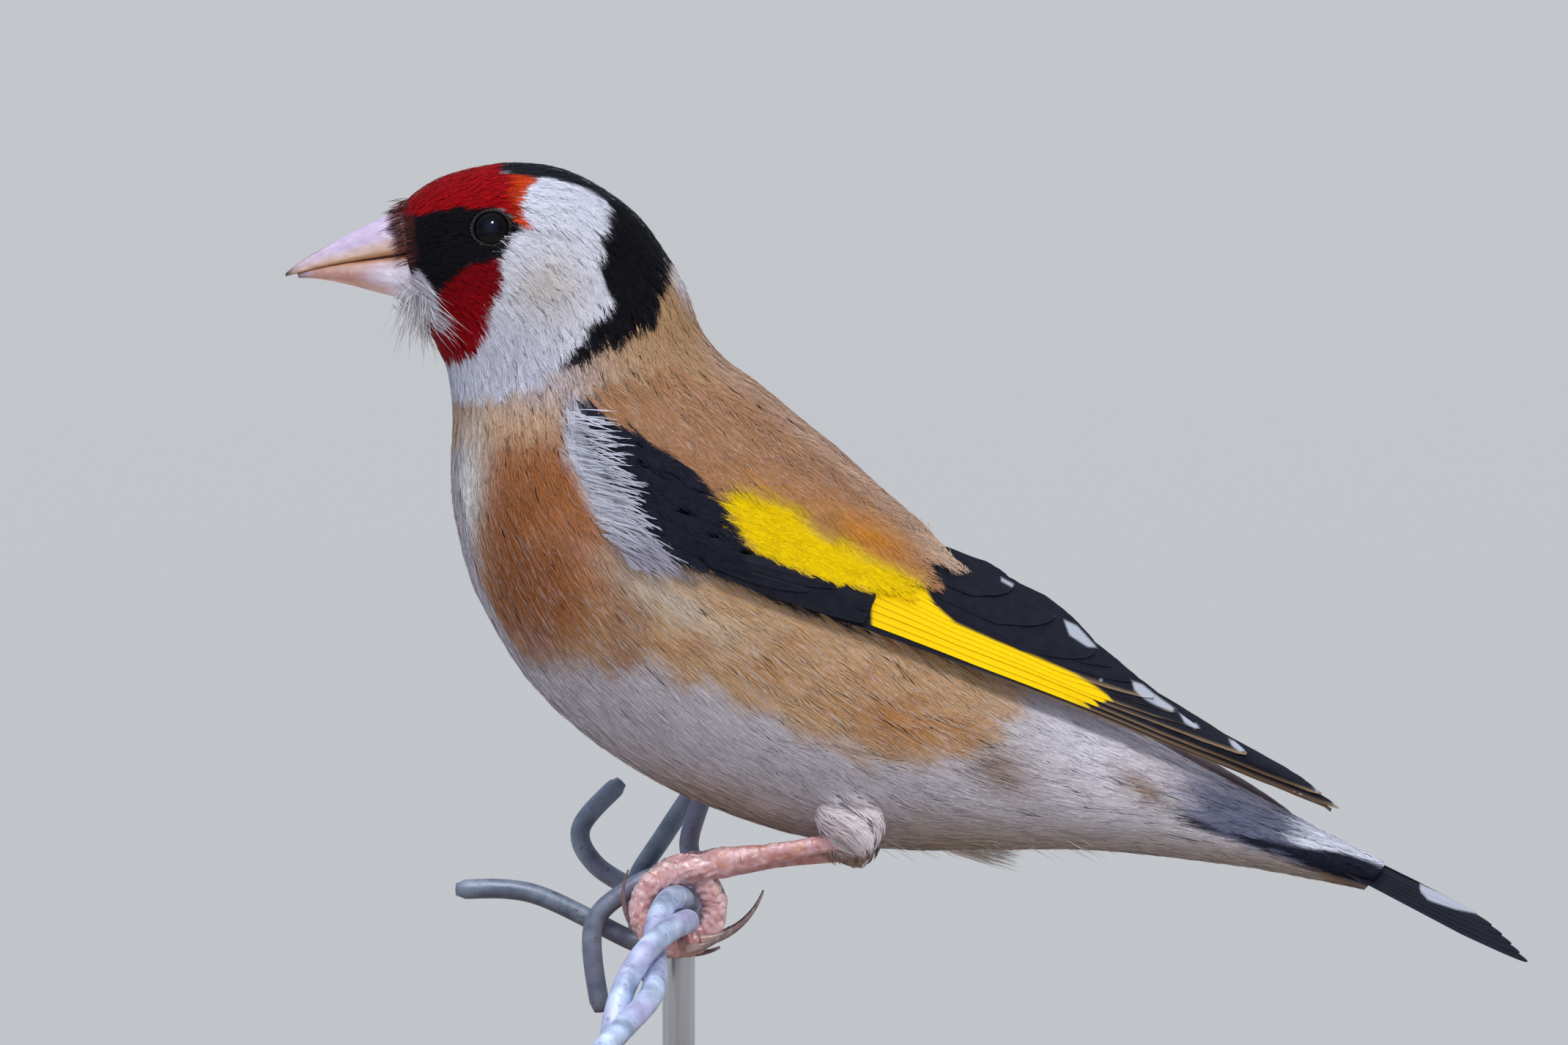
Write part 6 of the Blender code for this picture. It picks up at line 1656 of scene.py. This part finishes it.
def make_leg(side, skin_material, claw_material):
    word = "left" if side == LEFT else "right"
    ankle, knuckle = (np.array(p) for p in LEGS[side])
    t = np.linspace(-0.10, 1.18, 120)
    points = ankle + (knuckle - ankle) * t[:, None]
    sides = 28
    angle = np.linspace(0, 2 * math.pi, sides, endpoint=False)[None]
    width = np.interp(t, (-0.1, 0.0, 0.3, 0.55, 0.8, 1.0, 1.18), (0.78, 0.78, 0.80, 0.92, 1.20, 1.42, 1.15))[:, None]
    length = float(np.linalg.norm(knuckle - ankle))
    along = t[:, None] * length
    along = along + 0.28 * np.sin(along * 1.9 + side) + 0.16 * np.sin(3 * angle + along) + 0.10 * np.sin(5 * angle)
    plates = scutes(along, angle, 1.45, 1.5)
    small = scutes(along, angle + math.pi, 0.8, 1.2)
    groove = 0.05 * np.exp(-((np.abs((angle + math.pi) % (2 * math.pi) - math.pi) - 1.75) / 0.2) ** 2)
    radii = width * (0.94 + 0.045 * plates + 0.03 * small - groove)
    radii = radii * (1 + 0.06 * np.cos(2 * angle))
    facing = np.broadcast_to(np.array([0.15, side * 0.35, 1.0]), points.shape)
    verts, faces = faced_sweep(points, radii, facing, sides)
    verts = knobbly(verts, points.mean(0), 0.05, 1.1)
    raised = np.concatenate([0.55 * np.maximum(plates, 0.7 * small).ravel(), [0, 0]])
    obj = mesh_object(f"shank_{word}", verts, faces, values={"raised": raised})
    piece(obj, "leg_skin", skin_material, f"tarsus_{word}")

    shapes = []
    for name, offset, start, end, _, _, thick in TOES:
        s = np.linspace(0, 1, 120)
        turn = np.radians(between(start, end, s))
        y = side * (FOOT_Y + offset * np.minimum(1.0, s / 0.3))
        centre = around_wire(y, turn, TOE_PATH)
        facing = centre - wire_point(y)
        arc = s * abs(math.radians(end - start)) * TOE_PATH
        base = thick * between(1.05, 0.82, s)[:, None]
        crooked = arc[:, None] + 0.08 * np.sin(2 * angle) + 0.14 * np.sin(arc[:, None] * 2.3 + offset) + 0.06 * np.sin(4 * angle)
        plates = scutes(crooked, angle, 0.78, 1.45)
        pads = np.maximum(0.0, -np.cos(angle)) * (0.5 + 0.5 * np.cos(s * math.pi * 7))[:, None]
        lumps = 0.05 * np.sin(arc[:, None] * 7 + 5 * angle) + 0.06 * np.sin(arc[:, None] * 4.3 - 3 * angle)
        grip = 0.55 * np.maximum(0.0, -np.cos(angle)) ** 1.5 * smooth_step(0.0, 0.12, s)[:, None]
        radii = base * (0.92 + 0.12 * plates + 0.10 * pads + lumps + grip)
        verts, faces = faced_sweep(centre, radii, facing, sides)
        shapes.append((verts, faces, np.concatenate([plates.ravel(), [0, 0]])))
    tilt, turn = np.meshgrid(np.linspace(0.02, math.pi - 0.02, 40), np.linspace(0, 2 * math.pi, 57)[:-1], indexing="ij")
    lump = 1 + 0.035 * np.sin(7 * turn + 4 * tilt) * np.sin(9 * tilt) + 0.02 * np.sin(13 * turn - 8 * tilt)
    p = np.stack([np.sin(tilt) * np.cos(turn), np.sin(tilt) * np.sin(turn), np.cos(tilt)], -1) * PALM_RADII * lump[..., None]
    c, s = math.cos(PALM_TURN), math.sin(PALM_TURN)
    p = np.stack([p[..., 0] * c + p[..., 2] * s, p[..., 1], p[..., 2] * c - p[..., 0] * s], -1)
    p = p + np.array([PALM_AT[0], side * FOOT_Y, PALM_AT[1]])
    ids = np.arange(56)
    caps = np.concatenate([np.stack([np.full(56, 40 * 56), ids, (ids + 1) % 56], 1),
                           np.stack([np.full(56, 40 * 56 + 1), 39 * 56 + (ids + 1) % 56, 39 * 56 + ids], 1)])
    verts = np.concatenate([p.reshape(-1, 3), [p[0].mean(0), p[-1].mean(0)]])
    raised = np.concatenate([(lump.ravel() - 0.98) * 12, [0, 0]])
    shapes.append((verts, [grid_faces(40, 56, True)[:, ::-1], caps], raised))
    verts, faces, (raised,) = joined(shapes)
    axis = np.stack([0 * verts[:, 0] + WIRE_X, verts[:, 1], 0 * verts[:, 2] + WIRE_Z], -1)
    verts = knobbly(verts, axis, 0.17, 0.9)
    obj = mesh_object(f"toes_{word}", verts, faces, values={"raised": raised})
    piece(obj, "leg_skin", skin_material, f"foot_{word}")

    for name, offset, _, end, last, reach, thick in TOES:
        s = np.linspace(0, 1, 48)
        start = end + math.copysign(16.0, last - end)
        y = side * (FOOT_Y + offset)
        centre = around_wire(np.full(48, y), np.radians(between(start, last, s)), TOE_PATH + reach * s**1.3)
        width = between(thick * 0.66, 0.07, s**0.8)[:, None]
        ridge = 1 + 0.10 * np.cos(2 * angle) - 0.06 * np.exp(-((np.abs(np.sin(angle)) - 1) / 0.1) ** 2)
        verts, faces = faced_sweep(centre, width * ridge, centre - wire_point(y), sides)
        share = np.concatenate([np.repeat(s, sides), [0, 1]])
        obj = mesh_object(f"talon_{word}_{name}", verts, faces, values={"share": share})
        piece(obj, "claw_horn", claw_material, f"claw_{word}_{name}")


# Perch

def make_perch():
    # The strands take a lit copy of the zinc, painted lighter, and the barbs a shaded copy, painted darker: painted
    # light and shade.
    zinc, shaded_zinc = wire_shader("wire_zinc", 1.35), wire_shader("wire_zinc_painted_shade", 0.50)
    for n in range(2):
        y = np.linspace(WIRE_BACK, WIRE_FRONT, 240)
        centre = wire_point(y)
        slope = unit(np.gradient(centre, axis=0))
        across = unit(np.cross(slope, (0.0, 0.0, 1.0)))
        above = np.cross(across, slope)
        turn = (STRAND_PHASE + 2 * math.pi * y / STRAND_PITCH + math.pi * n)[:, None]
        line = centre + (across * np.cos(turn) + above * np.sin(turn)) * STRAND_OFFSET
        radii = STRAND_RADIUS * (1 - 0.10 * np.maximum(smooth_step(24.7, 25.0, y), smooth_step(-38.7, -39.0, y)))
        verts, faces, _ = sweep(line, radii, 28)
        obj = mesh_object(f"wire_strand_{n + 1}", verts, faces)
        piece(obj, "wire_zinc", zinc, f"perch_strand_{n + 1}")
    barbs = [
        ((-1.1, 1.1), (100.0, -95.0), [(-9.2, -1.3, 28.3), (-12.7, -1.4, 24.7), (-12.0, -1.6, 17.0)],
         [(-8.8, 1.3, 23.3), (-18.1, 1.5, 27.7), (-25.2, 1.6, 28.1)]),
        ((12.4, 15.4), (62.0, -200.0), [(-4.0, 12.2, 32.4), (-2.6, 12.0, 37.0)],
         [(-12.6, 15.9, 30.2), (-13.9, 16.2, 33.6), (-10.2, 16.4, 37.8)]),
        ((17.7, 19.6), (170.0, -170.0), [(-8.7, 17.4, 23.6), (-7.8, 17.2, 19.6)],
         [(-8.9, 19.9, 28.6), (-6.2, 20.2, 33.0), (-3.0, 20.4, 37.8)]),
    ]
    for n, (ys, angles, first_arm, last_arm) in enumerate(barbs, 1):
        t = np.linspace(0, 1, 60)
        coil = around_wire(between(*ys, t), np.radians(between(*angles, t)), np.full(60, BARB_COIL))
        head = smooth_line(np.array([coil[0], *first_arm]), 34)[1:]
        tail = smooth_line(np.array([coil[-1], *last_arm]), 34)[1:]
        line = np.concatenate([head[::-1], coil, tail])
        reach = np.concatenate([[0], np.cumsum(np.linalg.norm(np.diff(line, axis=0), axis=1))])
        to_end = np.minimum(reach, reach[-1] - reach)
        radii = BARB_RADIUS * between(0.62, 1.0, smooth_step(0.0, 0.9, to_end))
        verts, faces, _ = sweep(line, radii, 24)
        obj = mesh_object(f"wire_barb_{n}", verts, faces)
        piece(obj, "wire_zinc", shaded_zinc, f"perch_barb_{n}")


# Stand

def lathe(name, profile, sides, slot, shader_used, *nodes, at=(0.0, 0.0)):
    """A turned piece: radius and height pairs from the middle of its underside to the middle of its top."""
    profile = np.array(profile, float)
    turn = np.linspace(0, 2 * math.pi, sides, endpoint=False)
    body = profile[1:-1]
    p = np.stack([body[:, :1] * np.cos(turn), body[:, :1] * np.sin(turn), body[:, 1:] + 0 * turn], -1)
    p = p + np.array([*at, 0.0])
    rows = len(body)
    ids = np.arange(sides)
    last = (rows - 1) * sides
    caps = np.concatenate([np.stack([np.full(sides, rows * sides), (ids + 1) % sides, ids], 1),
                           np.stack([np.full(sides, rows * sides + 1), last + ids, last + (ids + 1) % sides], 1)])
    ends = np.array([[*at, profile[0, 1]], [*at, profile[-1, 1]]])
    obj = mesh_object(name, np.concatenate([p.reshape(-1, 3), ends]), [grid_faces(rows, sides, True), caps])
    return piece(obj, slot, shader_used, *nodes)


BASE_RADIUS, BASE_HEIGHT, ROD_RADIUS, GAP = 42.0, 5.0, 1.5, 0.3


def make_stand():
    corner = [(BASE_RADIUS - 0.8 + 0.8 * math.sin(a), BASE_HEIGHT - 0.8 + 0.8 * math.cos(a))
              for a in np.linspace(math.pi / 2, 0, 9)]
    profile = [(0, 0), (BASE_RADIUS - 0.9, 0), (BASE_RADIUS - 0.5, 0.1), (BASE_RADIUS - 0.15, 0.35),
               (BASE_RADIUS, 0.8), (BASE_RADIUS, 2.6)]
    profile += corner + [(38.6, BASE_HEIGHT), (38.3, 4.86), (37.9, 4.76), (37.5, 4.86), (37.2, BASE_HEIGHT),
                         (30.0, BASE_HEIGHT), (15.0, BASE_HEIGHT), (0.5, BASE_HEIGHT), (0, BASE_HEIGHT)]
    lathe("base_disc", profile, 160, "stand_wood", wood_shader(), "stand_base")
    steel = steel_shader()
    for name, y in (("back", 22.0), ("front", -36.5)):
        centre = wire_point(y)
        top = centre[2] - STRAND_OFFSET - STRAND_RADIUS - GAP - (0.25 if name == "back" else 0.9)
        low = BASE_HEIGHT + GAP
        profile = [(0, low), (ROD_RADIUS - 0.15, low), (ROD_RADIUS, low + 0.15)]
        profile += [(ROD_RADIUS, h) for h in np.linspace(low + 0.5, top - 0.5, 6)]
        profile += [(ROD_RADIUS, top - 0.25), (ROD_RADIUS - 0.25, top), (0, top)]
        lathe(f"rod_{name}", profile, 48, "stand_steel", steel, f"stand_rod_{name}", at=(centre[0], y))


# Studio

def area_light(name, place, target, size, power, tint, mirrored=False):
    """A round soft lamp; a mirrored one shows only as a highlight on wet and polished things."""
    data = bpy.data.lights.new(name, "AREA")
    data.shape, data.size, data.energy, data.color = "DISK", size, power, tint
    lamp = bpy.data.objects.new(name, data)
    bpy.context.scene.collection.objects.link(lamp)
    lamp.location = place
    lamp.rotation_euler = (Vector(target) - Vector(place)).to_track_quat("-Z", "Y").to_euler()
    lamp.visible_glossy, lamp.visible_diffuse = mirrored, not mirrored


def make_studio():
    floor = mesh_object("floor", np.array([(-900, -900, 0), (900, -900, 0), (900, 900, 0), (-900, 900, 0)]),
                        [np.array([[0, 1, 2, 3]])], smooth=False)
    floor.data.materials.append(floor_shader())

    world = bpy.data.worlds.new("studio")
    bpy.context.scene.world = world
    world.use_nodes = True
    tree = world.node_tree
    direction = tree.nodes.new("ShaderNodeTexCoord")
    split = tree.nodes.new("ShaderNodeSeparateXYZ")
    height = tree.nodes.new("ShaderNodeMapRange")
    height.inputs["From Min"].default_value, height.inputs["From Max"].default_value = -1.0, 1.0
    shade = tree.nodes.new("ShaderNodeValToRGB")
    bands = [(0.0, (0.15, 0.153, 0.17)), (0.34, (0.19, 0.195, 0.21)), (0.42, (0.50, 0.52, 0.55)),
             (0.54, (0.56, 0.58, 0.61)), (0.61, (0.30, 0.33, 0.41)), (1.0, (0.52, 0.58, 0.74))]
    stops = shade.color_ramp.elements
    while len(stops) < len(bands):
        stops.new(0.5)
    for stop, (where, tone) in zip(stops, bands):
        stop.position, stop.color = where, (*tone, 1.0)
    tree.links.new(direction.outputs["Generated"], split.inputs[0])
    tree.links.new(split.outputs["Z"], height.inputs["Value"])
    tree.links.new(height.outputs["Result"], shade.inputs[0])
    tree.links.new(shade.outputs[0], tree.nodes["Background"].inputs["Color"])

    middle = (0.0, 0.0, 0.06)
    area_light("key", (0.30, -0.80, 0.85), middle, 0.30, 7.8, (1.0, 0.97, 0.92))
    area_light("top", (-0.15, 0.15, 1.1), middle, 0.9, 6.0, (0.92, 0.96, 1.0))
    area_light("fill", (-0.9, -0.6, 0.25), middle, 0.8, 1.2, (1.0, 0.98, 0.95))
    area_light("catch", (-0.06, -0.70, 0.98), middle, 0.24, 15.0, (1.0, 0.98, 0.95), True)

    data = bpy.data.cameras.new("camera")
    data.sensor_width, data.lens = 36.0, 630.8
    data.clip_start, data.clip_end = 0.05, 20.0
    camera = bpy.data.objects.new("camera", data)
    bpy.context.scene.collection.objects.link(camera)
    camera.location = (4.67 * MM, -2.5, 61.5 * MM)
    camera.rotation_euler = (math.pi / 2, 0.0, 0.0)
    bpy.context.scene.camera = camera
    bpy.context.scene.view_settings.view_transform = "Standard"


make_skin()
feathers = make_coat()
make_eyes()
make_bill()
vane_material = vane_shader()
for side in (LEFT, RIGHT):
    make_wing(side, feathers, vane_material)
make_tail(vane_material)
make_thigh_tufts(feathers)
make_vent_strands(feathers)
make_bristles(feathers)
leg_material, claw_material = skin_shader(), claw_shader()
for side in (LEFT, RIGHT):
    make_leg(side, leg_material, claw_material)
make_perch()
make_stand()
make_studio()
